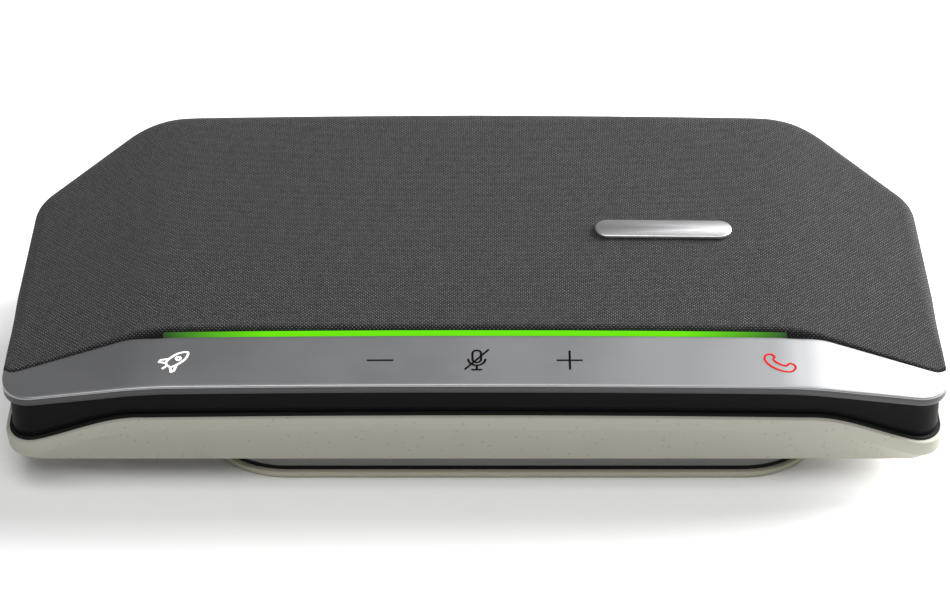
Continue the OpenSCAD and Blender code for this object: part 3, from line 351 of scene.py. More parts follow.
finishes = {
    "tray_plastic": makeFinish("speckledShell", (0.37, 0.36, 0.305), 0.58,
                               gloss=0.3, grain=0.5, depth=0.018, vary=0.05,
                               speck={"pitch": 1.5, "size": 0.22, "share": 0.3, "strength": 0.32,
                                      "colour": (0.17, 0.16, 0.14)}),
    "foot_plastic": makeFinish("footNeckPlastic", (0.20, 0.20, 0.20), 0.6, vary=0.1, gloss=0.25),
    "flange_plastic": makeFinish("footFlangePlastic", (0.44, 0.425, 0.335), 0.55, vary=0.06, gloss=0.3),
    "black_rubber": makeFinish("blackRubber", (0.006, 0.006, 0.006), 0.8,
                               gloss=0.2, grain=0.4, depth=0.03, vary=0.25),
    "band_plastic": makeFinish("satinBlackBand", (0.003, 0.003, 0.0034), 0.55,
                               grain=0.5, depth=0.01, vary=0.15, gloss=0.09),
    # lip: the bar's silver with a darker colour, painted shade for its down-facing edge
    "frame_paint": makeFinish("silverLipPaintedShade", (0.056, 0.056, 0.058), 0.42,
                              metal=0.55, grain=0.3, depth=0.006, vary=0.08),
    "grille_plastic": makeFinish("grillePlastic", (0.03, 0.03, 0.032), 0.55),
    "cloth": wovenCloth(),
    "bar_silver": makeFinish("satinSilverBar", (0.315, 0.319, 0.327), 0.43,
                             metal=1.0, grain=0.22, depth=0.006, vary=0.05),
    "light_guide": glowingGuide(),
    "badge_metal": makeFinish("satinBadge", (0.55, 0.55, 0.56), 0.38,
                              metal=1.0, grain=0.2, depth=0.001, vary=0.05),
    "circuit_board": makeFinish("solderMask", (0.012, 0.10, 0.04), 0.35, grain=1.2, coat=0.4),
    "tin_plate": makeFinish("tinPlate", (0.62, 0.62, 0.64), 0.3, metal=1.0, grain=0.3, vary=0.08),
    "chip_black": makeFinish("chipEpoxy", (0.015, 0.015, 0.015), 0.55),
    "screw_steel": makeFinish("blackZinc", (0.11, 0.11, 0.115), 0.35, metal=1.0, grain=0.25),
    "mic_can": makeFinish("goldCan", (0.62, 0.46, 0.18), 0.3, metal=1.0, grain=0.3),
    "flex_amber": makeFinish("polyimide", (0.42, 0.16, 0.02), 0.3, coat=0.5),
    "battery_wrap": makeFinish("shrinkWrap", (0.03, 0.09, 0.26), 0.28, coat=0.6, grain=2.0),
    "red_lead": makeFinish("redInsulation", (0.45, 0.02, 0.01), 0.4),
    "black_lead": makeFinish("blackInsulation", (0.02, 0.02, 0.02), 0.4),
    "chamber_plastic": makeFinish("chamberPlastic", (0.02, 0.02, 0.022), 0.5),
    "basket_steel": makeFinish("coatedSteel", (0.03, 0.03, 0.032), 0.42, metal=0.6),
    "magnet_steel": makeFinish("zincPlate", (0.42, 0.42, 0.44), 0.34, metal=1.0),
    "cone_paper": makeFinish("pulpCone", (0.02, 0.02, 0.02), 0.85, grain=0.8, depth=0.06, vary=0.3),
    "coil_copper": makeFinish("woundCopper", (0.62, 0.24, 0.09), 0.3, metal=1.0),
    "spider_cloth": makeFinish("resinCotton", (0.45, 0.27, 0.08), 0.8, grain=0.5, depth=0.08, vary=0.25),
    "radiator_plate": makeFinish("blackAnodised", (0.02, 0.02, 0.022), 0.3, metal=0.8),
    "key_plastic": makeFinish("keyPlastic", (0.022, 0.022, 0.024), 0.45, grain=0.4),
    "antenna_gold": makeFinish("ceramicAntenna", (0.60, 0.40, 0.12), 0.4),
    "bracket_steel": makeFinish("platedBracket", (0.10, 0.10, 0.105), 0.35, metal=0.9),
}
for part in record["subparts"]:
    node = frame["nodes"][part["node"]]
    node.data.materials.clear()
    node.data.materials.append(finishes[part["material_slot"]])
print("materials set on", len(record["subparts"]), "nodes")


# mesh makers, all given in mm
creaseAngle = 32.0


def makePiece(name, verts, faces, material, sharp=creaseAngle, uv=None):
    mesh = bpy.data.meshes.new(name)
    mesh.from_pydata([tuple(float(c) * mm for c in v) for v in verts], [], faces)
    if uv is not None:
        layer = mesh.uv_layers.new(name="flatCut")
        for loop in mesh.loops:
            layer.data[loop.index].uv = uv[loop.vertex_index] * mm
    work = bmesh.new()
    work.from_mesh(mesh)
    bmesh.ops.remove_doubles(work, verts=work.verts, dist=1e-7)
    bmesh.ops.recalc_face_normals(work, faces=work.faces)
    work.to_mesh(mesh)
    work.free()
    mesh.shade_smooth()
    mesh.set_sharp_from_angle(angle=math.radians(sharp))
    mesh.materials.append(material)
    piece = bpy.data.objects.new(name, mesh)
    bpy.context.scene.collection.objects.link(piece)
    return piece


def wallFaces(count, rings, wrap=False):
    faces = []
    for k in range(rings if wrap else rings - 1):
        low, high = k * count, ((k + 1) % rings) * count
        faces += [(low + i, low + (i + 1) % count, high + (i + 1) % count, high + i) for i in range(count)]
    return faces


def openFaces(columns, rows):
    # a closed profile carried along open columns, with a face at each end
    faces = []
    for k in range(rows):
        here, ahead = k * columns, ((k + 1) % rows) * columns
        faces += [(here + i, here + i + 1, ahead + i + 1, ahead + i) for i in range(columns - 1)]
    return faces + [tuple(k * columns + end for k in range(rows)) for end in (0, columns - 1)]


def hoop(name, rings, material, **kw):
    return makePiece(name, np.vstack(rings), wallFaces(len(rings[0]), len(rings), True), material, **kw)


def capped(name, rings, material, **kw):
    count = len(rings[0])
    last = (len(rings) - 1) * count
    faces = wallFaces(count, len(rings)) + [tuple(range(count)), tuple(range(last, last + count))]
    return makePiece(name, np.vstack(rings), faces, material, **kw)


def roundRect(width, depth, r, n=14):
    points = []
    for k, (sx, sy) in enumerate(((1, 1), (-1, 1), (-1, -1), (1, -1))):
        for i in range(n + 1):
            a = math.radians(90 * k + 90 * i / n)
            points.append((sx * (width / 2 - r) + r * math.cos(a), sy * (depth / 2 - r) + r * math.sin(a)))
    return np.array(points)


def sweptSolid(name, outline, profile, place, material):
    # an outline carried through (inset, height) pairs and put in place
    verts = [place(*p, height) for t, height in profile for p in inset(outline, t)]
    count = len(outline)
    faces = wallFaces(count, len(profile))
    faces += [tuple(range(count)), tuple((len(profile) - 1) * count + i for i in range(count))]
    return makePiece(name, verts, faces, material)


def keep(piece, body, slotName, *nodes):
    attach(piece, body)
    if nodes:
        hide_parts(*nodes)
    return piece


def cutWith(piece, cutters):
    for cutter in cutters:
        modifier = piece.modifiers.new("cut", "BOOLEAN")
        modifier.operation = "DIFFERENCE"
        modifier.solver = "EXACT"
        modifier.object = cutter
        bpy.context.view_layer.update()
        mesh = bpy.data.meshes.new_from_object(piece.evaluated_get(bpy.context.evaluated_depsgraph_get()))
        piece.modifiers.clear()
        piece.data = mesh
    for cutter in cutters:
        bpy.data.objects.remove(cutter)
    piece.data.set_sharp_from_angle(angle=math.radians(creaseAngle))


# tray
tray = {"lean": 3.0, "wall": 1.6, "floor": 2.0, "rimEase": 0.3, "footEase": 0.45}


def buildTray():
    under, strip = plan["underside"], lambda x: rimTop(x) - plan["stripHeight"]
    lean, wall = tray["lean"], tray["wall"]
    floor = under + tray["floor"]
    rings = [
        ringAt(bodyOutline, lean + tray["footEase"], under),
        ringAt(bodyOutline, lean + 0.08, under + 0.12),
        ringAt(bodyOutline, lean - 0.08, under + 0.5),
        ringAt(bodyOutline, 0.55, lifted(strip, -0.5)),
        ringAt(bodyOutline, 0.36, lifted(strip, -0.16)),
        ringAt(bodyOutline, 0.27, lifted(strip, 0.16)),
        ringAt(bodyOutline, 0.0, lifted(rimTop, -0.55)),
        ringAt(bodyOutline, 0.07, lifted(rimTop, -0.2)),
        ringAt(bodyOutline, tray["rimEase"], lifted(rimTop, -0.02)),
        ringAt(bodyOutline, wall, rimTop),
        ringAt(bodyOutline, wall, strip),
        ringAt(bodyOutline, lean + wall, floor)]
    piece = capped("speckledTray", rings, finishes["tray_plastic"], sharp=40)
    return keep(piece, "housing", "tray_plastic", "bottom_tray")


buildTray()

# black band between tray and lip, open for the keys and ports
band = {"inset": 1.75, "wall": 1.8, "keyWidth": 6.0, "keyHeight": 3.0, "keyClear": 0.15, "portClear": 0.1,
        "cutFrom": 40.5, "cutDepth": 10}
keyNodes = ["power_button", "pair_button", "link_button"]
lip = {"thickness": 1.8, "reach": 4.6}
lipUnder = lambda x: lipTop(x) - lip["thickness"]


def boxMid(node):
    low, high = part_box(node)
    return (low + high) / 2 / mm, (high - low) / mm


def alongY(x, z, face):
    return lambda u, v, h: (x + u, face + h, z + v)


def buildBand():
    out, inn = band["inset"], band["inset"] + band["wall"]
    rings = [
        ringAt(bodyOutline, out, lifted(rimTop, -2.2)),
        ringAt(bodyOutline, out, lifted(rimTop, 1.5)),
        ringAt(bodyOutline, out - 0.12, lifted(rimTop, 1.8)),
        ringAt(bodyOutline, out, lifted(rimTop, 2.1)),
        ringAt(bodyOutline, out, lifted(lipUnder, -0.05)),
        ringAt(bodyOutline, inn, lifted(lipUnder, -0.05)),
        ringAt(bodyOutline, inn, lifted(rimTop, -2.2))]
    piece = hoop("blackBand", rings, finishes["band_plastic"])
    clear = 2 * band["keyClear"]
    high = band["keyHeight"] + clear
    keyHole = roundRect(band["keyWidth"] + clear, high, high / 2 - 0.001)
    holes = [(boxMid(node)[0], keyHole) for node in keyNodes]
    for node, corner in (("usb_a_port", 0.3), ("usb_c_port", 1.69)):
        mid, size = boxMid(node)
        clear = 2 * band["portClear"]
        holes.append((mid, roundRect(size.x + clear, size.z + clear, corner)))
    cutters = [sweptSolid("cut", shape, [(0, 0), (0, band["cutDepth"])], alongY(mid.x, mid.z, band["cutFrom"]),
                          finishes["band_plastic"]) for mid, shape in holes]
    cutWith(piece, cutters)
    return keep(piece, "housing", "band_plastic", "mid_band")


buildBand()


# a profile swept along a path, as a node tree
def pathSweepTree():
    tree = bpy.data.node_groups.new("pathSweep", "GeometryNodeTree")
    tree.interface.new_socket("Geometry", in_out="INPUT", socket_type="NodeSocketGeometry")
    for label, value in (("Width", 0.001), ("Height", 0.001)):
        tree.interface.new_socket(label, in_out="INPUT", socket_type="NodeSocketFloat").default_value = value
    tree.interface.new_socket("Material", in_out="INPUT", socket_type="NodeSocketMaterial")
    tree.interface.new_socket("Geometry", in_out="OUTPUT", socket_type="NodeSocketGeometry")
    n = {key: tree.nodes.new(kind) for key, kind in {
        "in": "NodeGroupInput", "out": "NodeGroupOutput", "curve": "GeometryNodeMeshToCurve",
        "up": "GeometryNodeSetCurveNormal", "shape": "GeometryNodeCurvePrimitiveQuadrilateral",
        "sweep": "GeometryNodeCurveToMesh", "real": "GeometryNodeRealizeInstances",
        "paint": "GeometryNodeSetMaterial"}.items()}
    n["up"].mode = "Z_UP"
    link = tree.links.new
    link(n["in"].outputs["Geometry"], n["curve"].inputs[0])
    link(n["curve"].outputs[0], n["up"].inputs[0])
    link(n["up"].outputs[0], n["sweep"].inputs["Curve"])
    link(n["in"].outputs["Width"], n["shape"].inputs["Width"])
    link(n["in"].outputs["Height"], n["shape"].inputs["Height"])
    link(n["shape"].outputs[0], n["sweep"].inputs["Profile Curve"])
    n["sweep"].inputs["Fill Caps"].default_value = True
    link(n["sweep"].outputs[0], n["real"].inputs[0])
    link(n["real"].outputs[0], n["paint"].inputs[0])
    link(n["in"].outputs["Material"], n["paint"].inputs["Material"])
    link(n["paint"].outputs[0], n["out"].inputs[0])
    return tree


def instanceTree():
    tree = bpy.data.node_groups.new("onPoints", "GeometryNodeTree")
    tree.interface.new_socket("Geometry", in_out="INPUT", socket_type="NodeSocketGeometry")
    tree.interface.new_socket("Shape", in_out="INPUT", socket_type="NodeSocketObject")
    tree.interface.new_socket("Material", in_out="INPUT", socket_type="NodeSocketMaterial")
    tree.interface.new_socket("Geometry", in_out="OUTPUT", socket_type="NodeSocketGeometry")
    n = {key: tree.nodes.new(kind) for key, kind in {
        "in": "NodeGroupInput", "out": "NodeGroupOutput", "points": "GeometryNodeMeshToPoints",
        "info": "GeometryNodeObjectInfo", "place": "GeometryNodeInstanceOnPoints",
        "real": "GeometryNodeRealizeInstances", "paint": "GeometryNodeSetMaterial"}.items()}
    link = tree.links.new
    link(n["in"].outputs["Geometry"], n["points"].inputs[0])
    link(n["in"].outputs["Shape"], n["info"].inputs[0])
    link(n["points"].outputs[0], n["place"].inputs["Points"])
    link(n["info"].outputs["Geometry"], n["place"].inputs["Instance"])
    link(n["place"].outputs[0], n["real"].inputs[0])
    link(n["real"].outputs[0], n["paint"].inputs[0])
    link(n["in"].outputs["Material"], n["paint"].inputs["Material"])
    link(n["paint"].outputs[0], n["out"].inputs[0])
    return tree


pathSweep, onPoints = pathSweepTree(), instanceTree()


def grown(name, verts, edges, tree, settings):
    # runs a node tree on a wire or on points and keeps the plain mesh
    wire = bpy.data.meshes.new(name + "Wire")
    wire.from_pydata([tuple(float(c) * mm for c in v) for v in verts], edges, [])
    piece = bpy.data.objects.new(name, wire)
    bpy.context.scene.collection.objects.link(piece)
    modifier = piece.modifiers.new("grow", "NODES")
    modifier.node_group = tree
    named = {item.name: item.identifier for item in tree.interface.items_tree
             if item.item_type == "SOCKET" and item.in_out == "INPUT"}
    for key, value in settings.items():
        modifier[named[key]] = value
    bpy.context.view_layer.update()
    mesh = bpy.data.meshes.new_from_object(piece.evaluated_get(bpy.context.evaluated_depsgraph_get()))
    piece.modifiers.clear()
    piece.data = mesh
    work = bmesh.new()
    work.from_mesh(mesh)
    bmesh.ops.remove_doubles(work, verts=work.verts, dist=1e-7)
    bmesh.ops.recalc_face_normals(work, faces=work.faces)
    work.to_mesh(mesh)
    work.free()
    mesh.shade_smooth()
    mesh.set_sharp_from_angle(angle=math.radians(creaseAngle))
    return piece


# gasket in the seam between tray and band
gasket = {"inset": 1.3, "lift": 0.31, "width": 0.8, "height": 0.48}


def buildGasket():
    path = ringAt(bodyOutline, gasket["inset"], lifted(rimTop, gasket["lift"]))
    count = len(path)
    edges = [(i, (i + 1) % count) for i in range(count)]
    piece = grown("seamGasket", path, edges, pathSweep,
                  {"Width": gasket["width"] * mm, "Height": gasket["height"] * mm,
                   "Material": finishes["black_rubber"]})
    return keep(piece, "housing", "black_rubber", "housing_gasket")


buildGasket()


# lip: the frame's visible edge under the bar and cloth, in the bar's silver with its colour darkened as painted
# shade for an edge that faces down and forward
def buildLip():
    t = plan["frameInset"]
    rings = [ringAt(bodyOutline, t + 0.5, lipUnder), ringAt(bodyOutline, t + 0.16, lifted(lipUnder, 0.14)),
             ringAt(bodyOutline, t, lifted(lipUnder, 0.5)), ringAt(bodyOutline, t, lifted(lipTop, -0.25)),
             ringAt(bodyOutline, t + 0.06, lifted(lipTop, -0.07)), ringAt(bodyOutline, t + 0.25, lipTop),
             ringAt(bodyOutline, lip["reach"], lipTop), ringAt(bodyOutline, lip["reach"], lipUnder)]
    piece = hoop("silverLip", rings, finishes["frame_paint"], sharp=40)
    return keep(piece, "housing", "frame_paint", "top_frame")


buildLip()

# touch bar
bar = {"columns": 260, "rows": 18, "seat": 0.05}


def buildBar():
    count = bar["columns"]
    front = inset(bodyOutline, plan["frameInset"])
    half = front[plan["stations"] - 1:2 * plan["stations"] - 1]
    ends = half[:, 1] < clothCornerLine - 0.45
    front = spaced(half[ends], count)
    turn = [p for p in spaced(clothFrontPath, 900) if p[0] < clothCorner[0] and p[1] < clothLine + 1]
    turn = np.array([p for p in turn if p[1] > clothCornerLine + 0.35 or p[0] < w - 3])
    back = spaced(turn, count)
    back[:, 1] -= 2 * plan["guideGap"]
    back[:, 1] -= plan["guideWidth"] * (1 - smoothStep((back[:, 0] - guideHigh.x / mm) / 10))
    back[:, 0] = np.minimum(back[:, 0], front[-1, 0])
    front = np.vstack([front[:0:-1] * [-1, 1], front])
    back = np.vstack([back[:0:-1] * [-1, 1], back])
    rows = [0, 0.0, 0.006, 0.02] + list(np.linspace(0.06, 0.94, bar["rows"])) + [0.98, 0.994, 1.0, 1.0]
    drops = [None, 0.30, 0.10, 0.02] + [0] * bar["rows"] + [0.02, 0.08, 0.22, None]
    verts, columns = [], len(front)
    for s, drop in zip(rows, drops):
        p = front * (1 - s) + back * s
        top = barTop(p[:, 0], p[:, 1])
        z = lipTop(p[:, 0]) + bar["seat"] if drop is None else top - drop
        verts.append(np.c_[p, z])
    faces = openFaces(columns, len(rows))
    return keep(makePiece("touchBarSilver", np.vstack(verts), faces, finishes["bar_silver"], sharp=50),
                "housing", "bar_silver", "touch_bar")


buildBar()


# light guide
def buildGuide():
    half = guideHigh.x / mm
    xs = np.linspace(-half, half, 121)
    y0, y1 = guideLow.y / mm, guideHigh.y / mm
    profile = [(y0, None), (y0, -0.12), (y0 + 0.12, -0.01), ((y0 + y1) / 2, 0.05),
               (y1 - 0.12, -0.01), (y1, -0.12), (y1, None)]
    verts = []
    for y, lift in profile:
        z = np.full(len(xs), guideLow.z / mm) if lift is None else barTop(xs, y) + lift
        verts.append(np.c_[xs, np.full(len(xs), y), z])
    faces = openFaces(len(xs), len(profile))
    return keep(makePiece("lightDiffuser", np.vstack(verts), faces, finishes["light_guide"], sharp=50),
                "housing", "light_guide", "light_guide")


buildGuide()

# cloth cover, stretched over the grille
cloth = {"cell": 1.8, "edgeSteps": 8, "thickness": 0.9}


def insidePoints(edge, step):
    # an even grid of points well inside a closed outline
    xs = np.arange(edge[:, 0].min() + step, edge[:, 0].max(), step)
    ys = np.arange(edge[:, 1].min() + step, edge[:, 1].max(), step)
    grid = np.array([(x, y) for y in ys for x in xs])
    ahead = np.roll(edge, -1, 0)
    rise = ahead[:, 1] - edge[:, 1]
    rise = np.where(np.abs(rise) < 1e-9, 1e-9, rise)
    crosses = (edge[:, 1] > grid[:, 1, None]) != (ahead[:, 1] > grid[:, 1, None])
    at = edge[:, 0] + (grid[:, 1, None] - edge[:, 1]) / rise * (ahead[:, 0] - edge[:, 0])
    within = (crosses & (grid[:, 0, None] < at)).sum(axis=1) % 2 == 1
    near = np.hypot(grid[:, 0, None] - edge[:, 0], grid[:, 1, None] - edge[:, 1]).min(axis=1)
    return grid[within & (near > step * 0.6)]


def buildCloth():
    out = plan["frameInset"]
    normals = normalsOf(clothOutline)
    base = inset(clothOutline, out)
    radius = edgeRadius(clothOutline[:, 1])
    inner = base + normals * radius[:, None]
    topEdge = clothTop(inner[:, 0], inner[:, 1])
    rings, flats = [], []
    steps = cloth["edgeSteps"]
    low = lipTop(base[:, 0]) + 0.05
    for k in (0, 0.5):
        z = low * (1 - k) + (topEdge - radius) * k
        z = np.minimum(z, np.maximum(topEdge - radius, low))
        reach = radius * math.pi / 2 + np.maximum(topEdge - radius - z, 0)
        rings.append(np.c_[base, z])
        flats.append(inner - normals * reach[:, None])
    for k in range(steps + 1):
        a = math.pi / 2 * k / steps
        p = base + normals * (radius * (1 - math.cos(a)))[:, None]
        z = np.maximum(topEdge - radius * (1 - math.sin(a)), low + 0.02 * (k + 1))
        rings.append(np.c_[p, z])
        flats.append(inner - normals * (radius * (math.pi / 2 - a))[:, None])
    count = len(base)
    verts, uv = np.vstack(rings), np.vstack(flats)
    last = (len(rings) - 1) * count
    field = insidePoints(inner, cloth["cell"])
    points = [Vector((float(x), float(y))) for x, y in np.vstack([inner, field])]
    edges = [(i, (i + 1) % count) for i in range(count)]
    made, _, triangles, sources, _, _ = delaunay_2d_cdt(points, edges, [], 1, 1e-6)
    place, extra = [], []
    for point, source in zip(made, sources):
        onEdge = [i for i in source if i < count]
        place.append(last + onEdge[0] if onEdge else len(verts) + len(extra))
        if not onEdge:
            extra.append((point.x, point.y))
    extra = np.array(extra)
    verts = np.vstack([verts, np.c_[extra, clothTop(extra[:, 0], extra[:, 1])]])
    uv = np.vstack([uv, extra])
    faces = wallFaces(count, len(rings)) + [tuple(place[i] for i in t) for t in triangles]
    piece = makePiece("clothCover", verts, faces, finishes["cloth"], sharp=60, uv=uv)
    up = sum(f.normal.z * f.area for f in piece.data.polygons)
    if up < 0:
        piece.data.flip_normals()
    thick = piece.modifiers.new("clothThickness", "SOLIDIFY")
    thick.thickness = cloth["thickness"] * mm
    thick.offset = -1
    keep(piece, "housing", "cloth", "fabric_cover")
    return piece


buildCloth()
print("case pieces built")

# touch symbols: flat printed strokes on the bar, own plain designs, sizes in mm
symbols = {"stroke": 0.5, "height": 0.06, "steps": 7,
           "places": {"launch": (-66.8, -40.6), "quieter": (-21.1, -41.0), "muted": (0.4, -41.0),
                      "louder": (21.1, -41.0), "hangUp": (67.6, -41.7)}}


def loopThrough(points):
    # a smooth closed path through the points
    p = np.array(points, float)
    n, steps, made = len(p), symbols["steps"], []
    for i in range(n):
        a, b, c, e = p[[(i + k) % n for k in (-1, 0, 1, 2)]]
        for t in np.arange(steps) / steps:
            made.append(0.5 * (2 * b + (c - a) * t + (2 * a - 5 * b + 4 * c - e) * t ** 2
                               + (3 * b - a - 3 * c + e) * t ** 3))
    return np.array(made)


def turned(points, degrees):
    a = math.radians(degrees)
    return np.array(points) @ np.array([[math.cos(a), math.sin(a)], [-math.sin(a), math.cos(a)]])


def strokes(name, material, groups):
    verts, edges = [], []
    for (cx, cy), path, closedPath in groups:
        start = len(verts)
        dense = path
        if len(path) <= 6:
            dense = np.vstack([np.linspace(path[i], path[i + 1], 5) for i in range(len(path) - 1)])
        for p in dense:
            x, y = cx + p[0], cy + p[1]
            if len(verts) > start and math.dist(verts[-1][:2], (x, y)) < 1e-4:
                continue
            verts.append((x, y, float(barTop(x, y)) + 0.005))
        edges += [(i, i + 1) for i in range(start, len(verts) - 1)]
        if closedPath:
            edges.append((len(verts) - 1, start))
    piece = grown(name, verts, edges, pathSweep,
                  {"Width": symbols["stroke"] * mm, "Height": symbols["height"] * mm, "Material": material})
    return keep(piece, "housing", "bar_silver")


def circle(cx, cy, r, a0=0, a1=360, n=20):
    return np.array([(cx + r * math.cos(math.radians(a0 + (a1 - a0) * i / n)),
                      cy + r * math.sin(math.radians(a0 + (a1 - a0) * i / n)))
                     for i in range(n + (a1 - a0 < 360))])


def buildSymbols():
    at = symbols["places"]
    white = makeFinish("litWhiteMark", (0.8, 0.8, 0.8), 0.5, glow=((1, 1, 1), 0.7))
    black = makeFinish("printedBlackMark", (0.003, 0.003, 0.003), 0.8, gloss=0.03)
    red = makeFinish("litRedMark", (0.30, 0.004, 0.006), 0.7, glow=((1.0, 0.01, 0.015), 0.35), gloss=0.03)
    hull = loopThrough([(3.6, 0), (2.0, 1.15), (-0.4, 1.3), (-2.0, 0.8), (-2.0, -0.8), (-0.4, -1.3),
                        (2.0, -1.15)])
    launch = [(at["launch"], turned(p, 42), c) for p, c in (
        (hull, True), (circle(0.9, 0, 0.5), True),
        (np.array([(-0.6, 1.3), (-2.2, 2.3), (-2.9, 2.1), (-2.0, 0.8)]), False),
        (np.array([(-0.6, -1.3), (-2.2, -2.3), (-2.9, -2.1), (-2.0, -0.8)]), False),
        (np.array([(-2.6, 0), (-3.7, 0)]), False))]
    strokes("launchMark", white, launch)
    capsule = np.vstack([circle(0, 2.0, 0.95, 0, 180), circle(0, 0.2, 0.95, 180, 360)])
    dark = [(at["quieter"], np.array([(-2.95, 0), (2.95, 0)]), False),
            (at["louder"], np.array([(-2.9, 0), (2.9, 0)]), False),
            (at["louder"], np.array([(0, -2.9), (0, 2.9)]), False),
            (at["muted"], capsule, True),
            (at["muted"], circle(0, 0.3, 1.9, 180, 360), False),
            (at["muted"], np.array([(0, -1.6), (0, -2.8)]), False),
            (at["muted"], np.array([(-1.2, -2.9), (1.2, -2.9)]), False),
            (at["muted"], np.array([(-2.7, -2.9), (2.7, 3.2)]), False)]
    strokes("volumeAndMuteMarks", black, dark)
    handset = loopThrough([(-3.7, 0.9), (-3.0, 1.7), (-1.9, 1.5), (-1.6, 0.5), (0, 0.15), (1.6, 0.5),
                           (1.9, 1.5), (3.0, 1.7), (3.7, 0.9), (3.3, -0.5), (1.8, -1.3), (0, -1.55),
                           (-1.8, -1.3), (-3.3, -0.5)])
    strokes("hangUpMark", red, [(at["hangUp"], turned(handset, -32), True)])


buildSymbols()


# badge: a plain pill, tilted with the cloth
badge = {"width": 32, "depth": 6, "corner": 2.99, "lift": 0.15,
         "edge": [(0.1, 0), (0, 0.1), (0, 0.55), (0.08, 0.72), (0.25, 0.82), (0.5, 0.86)]}


def buildBadge():
    mid = boxMid("badge")[0]
    x0, y0 = mid.x, mid.y
    tilt = math.atan(clothSlope)
    roll = -2 * plan["crown"] * x0 / plan["wingStart"] ** 2
    base = float(clothTop(x0, y0)) + badge["lift"]

    def place(u, v, h):
        y, z = v * math.cos(tilt) - h * math.sin(tilt), v * math.sin(tilt) + h * math.cos(tilt)
        return x0 + u, y0 + y, base + z + u * roll

    outline = roundRect(badge["width"], badge["depth"], badge["corner"], 20)
    piece = sweptSolid("plainBadge", outline, badge["edge"], place, finishes["badge_metal"])
    return keep(piece, "housing", "badge_metal", "badge")


buildBadge()


# foot flange: a plate with eased edges, the pad's groove and four screw holes
flange = {"corner": 20.0, "groove": (3.0, 8.0, 0.76), "hole": 1.4, "headHole": 2.48, "headDepth": 0.8}


def buildFlange():
    low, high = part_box("foot_base")
    mid, size = (low + high) / 2 / mm, (high - low) / mm
    near, far, deep = flange["groove"]
    profile = [(far, 0.0), (far, deep), (near, deep), (near, 0.0), (0.5, 0.0), (0.15, 0.15), (0, 0.45),
               (0, size.z - 0.5), (0.15, size.z - 0.14), (0.5, size.z)]
    place = lambda u, v, h: (mid.x + u, mid.y + v, low.z / mm + h)
    outline = roundRect(size.x, size.y, flange["corner"], 32)
    piece = sweptSolid("footFlange", outline, profile, place, finishes["flange_plastic"])
    cutters = []
    for sx in (-1, 1):
        for sy in (-1, 1):
            at = lambda u, v, h, sx=sx, sy=sy: place(u + sx * (size.x / 2 - flange["corner"]),
                                                     v + sy * (size.y / 2 - flange["corner"]), h)
            for r, reach in ((flange["hole"], size.z + 1), (flange["headHole"], flange["headDepth"])):
                drill = roundRect(2 * r, 2 * r, r * 0.999, 10)
                cutters.append(sweptSolid("cut", drill, [(0, -1), (0, reach)], at, finishes["flange_plastic"]))
    cutWith(piece, cutters)
    return keep(piece, "housing", "flange_plastic", "foot_base")


buildFlange()

# rear keys: domed caps that ride on their own bodies
keyBodies = {"power_button": "power_key", "pair_button": "pair_key", "link_button": "link_key"}
keys = {"flangeFrom": 1.25, "flangeTo": 2.0, "flangeOut": 0.5, "stem": 2.0, "stemLength": 1.3}


def buildKeys():
    for node, body in keyBodies.items():
        low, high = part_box(node)
        mid = (low + high) / 2 / mm
        face, inner = high.y / mm, low.y / mm
        tip = face - inner
        outline = roundRect(band["keyWidth"], band["keyHeight"], band["keyHeight"] / 2 - 0.001)
        near, far, out = keys["flangeFrom"], keys["flangeTo"], keys["flangeOut"]
        place = lambda u, v, h: (mid.x + u, inner + h, mid.z + v)
        profile = [(out, near), (-out, near), (-out, far), (0, far), (0, tip - 0.4),
                   (0.1, tip - 0.16), (0.35, tip - 0.04), (0.8, tip), (1.1, tip)]
        name = node.split("_")[0] + "KeyCap"
        keep(sweptSolid(name, outline, profile, place, finishes["key_plastic"]), body, "key_plastic", node)
        stemEnd = roundRect(keys["stem"], keys["stem"], keys["stem"] / 2 - 0.001, 8)
        stem = sweptSolid(name.replace("Cap", "Stem"), stemEnd, [(0.12, 0), (0, 0.12), (0, keys["stemLength"])],
                          place, finishes["key_plastic"])
        keep(stem, body, "key_plastic")


buildKeys()


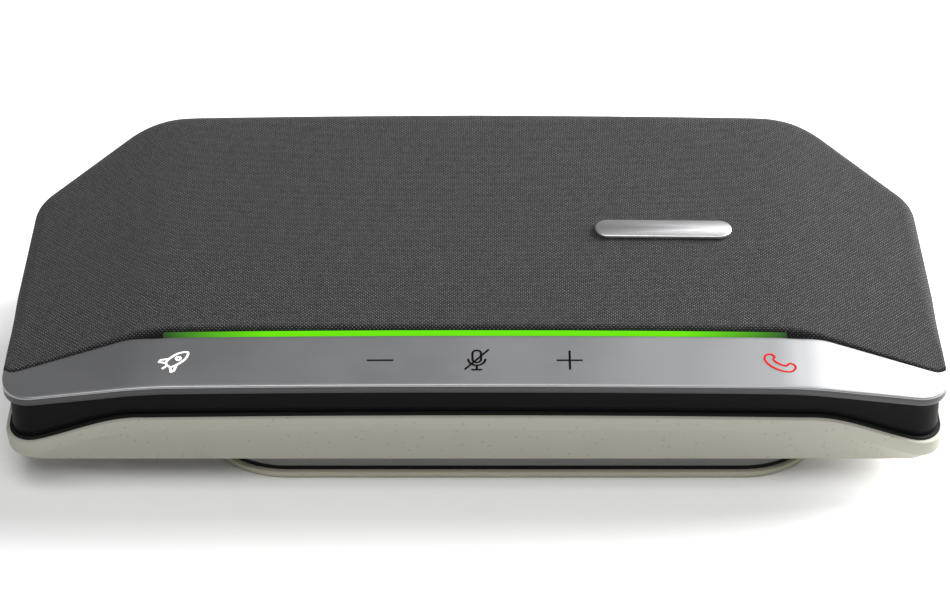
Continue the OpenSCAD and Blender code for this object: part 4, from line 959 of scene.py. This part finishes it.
# ports: shell, tongue and contacts
def buildPort(node, corner, tongueSize, tongueLift, contacts):
    low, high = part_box(node)
    mid, size = (low + high) / 2 / mm, (high - low) / mm
    mouth, depth = high.y / mm, size.y
    place = lambda u, v, h: (mid.x + u, mouth - h, mid.z + v)
    outer = roundRect(size.x, size.z, corner)
    named = lambda part: node.replace("_port", part).replace("usb_", "usb")
    profile = [(0, depth), (0, 0.08), (0.06, 0), (0.26, 0), (0.3, 0.06), (0.3, depth - 1)]
    shell = sweptSolid(named("Shell"), outer, profile, place, finishes["tin_plate"])
    keep(shell, "housing", "tin_plate", node)
    tongue = sweptSolid(named("Tongue"), roundRect(tongueSize[0], tongueSize[1], 0.25, 4),
                        [(0.1, depth - 1), (0, depth - 1.05), (0, 1.05), (0.12, 0.95)],
                        lambda u, v, h: place(u, v + tongueLift, h), finishes["chip_black"])
    keep(tongue, "housing", "chip_black")
    pin = sweptSolid("pinShape", roundRect(contacts["width"], 0.08, 0.03, 2), [(0, 0), (0, contacts["length"])],
                     lambda u, v, h: (u, -h, v), finishes["mic_can"])
    total, under = contacts["count"], tongueLift - tongueSize[1] / 2 - 0.02
    spots = [place((i - (total - 1) / 2) * contacts["pitch"], under, 1.4) for i in range(total)]
    pins = grown(named("Contacts"), spots, [], onPoints, {"Shape": pin, "Material": finishes["mic_can"]})
    bpy.data.objects.remove(pin)
    keep(pins, "housing", "mic_can")


buildPort("usb_a_port", 0.5, (11, 1.8), 0.9, {"width": 1.0, "length": 6.0, "pitch": 2.4, "count": 4})
buildPort("usb_c_port", 1.599, (6.7, 0.7), 0.0, {"width": 0.25, "length": 3.5, "pitch": 0.5, "count": 12})
print("symbols, badge, flange, keys and ports built")

# floor and light
stage = {"floor": (0.93, 0.93, 0.93), "world": 0.20, "reach": 12}
panels = {"rightBackPanel": {"place": (0.78, 0.62, 0.95), "size": 0.75, "power": 13.5},
          "topPanel": {"place": (-0.1, -0.6, 1.3), "size": 1.0, "power": 13},
          "nearRightPanel": {"place": (0.50, 0.20, 0.26), "size": 0.34, "power": 7.5}}


def makeStage():
    mesh = bpy.data.meshes.new("paleFloor")
    r = stage["reach"]
    mesh.from_pydata([(-r, -r, 0), (r, -r, 0), (r, r, 0), (-r, r, 0)], [], [(0, 1, 2, 3)])
    floor = bpy.data.objects.new("paleFloor", mesh)
    bpy.context.scene.collection.objects.link(floor)
    mesh.materials.append(makeFinish("paleTable", stage["floor"], 0.9, vary=0.01))
    world = bpy.data.worlds.new("softRoom")
    world.use_nodes = True
    world.node_tree.nodes["Background"].inputs[0].default_value = (1, 1, 1, 1)
    world.node_tree.nodes["Background"].inputs[1].default_value = stage["world"]
    bpy.context.scene.world = world
    for name, panel in panels.items():
        light = bpy.data.lights.new(name, "AREA")
        light.size, light.energy = panel["size"], panel["power"]
        lamp = bpy.data.objects.new(name, light)
        bpy.context.scene.collection.objects.link(lamp)
        lamp.location = panel["place"]
        lamp.visible_camera = False
        lamp.rotation_mode = "QUATERNION"
        lamp.rotation_quaternion = (-Vector(panel["place"])).to_track_quat("-Z", "Y")
    bpy.context.scene.view_settings.view_transform = "Standard"


makeStage()
print("floor and light set")
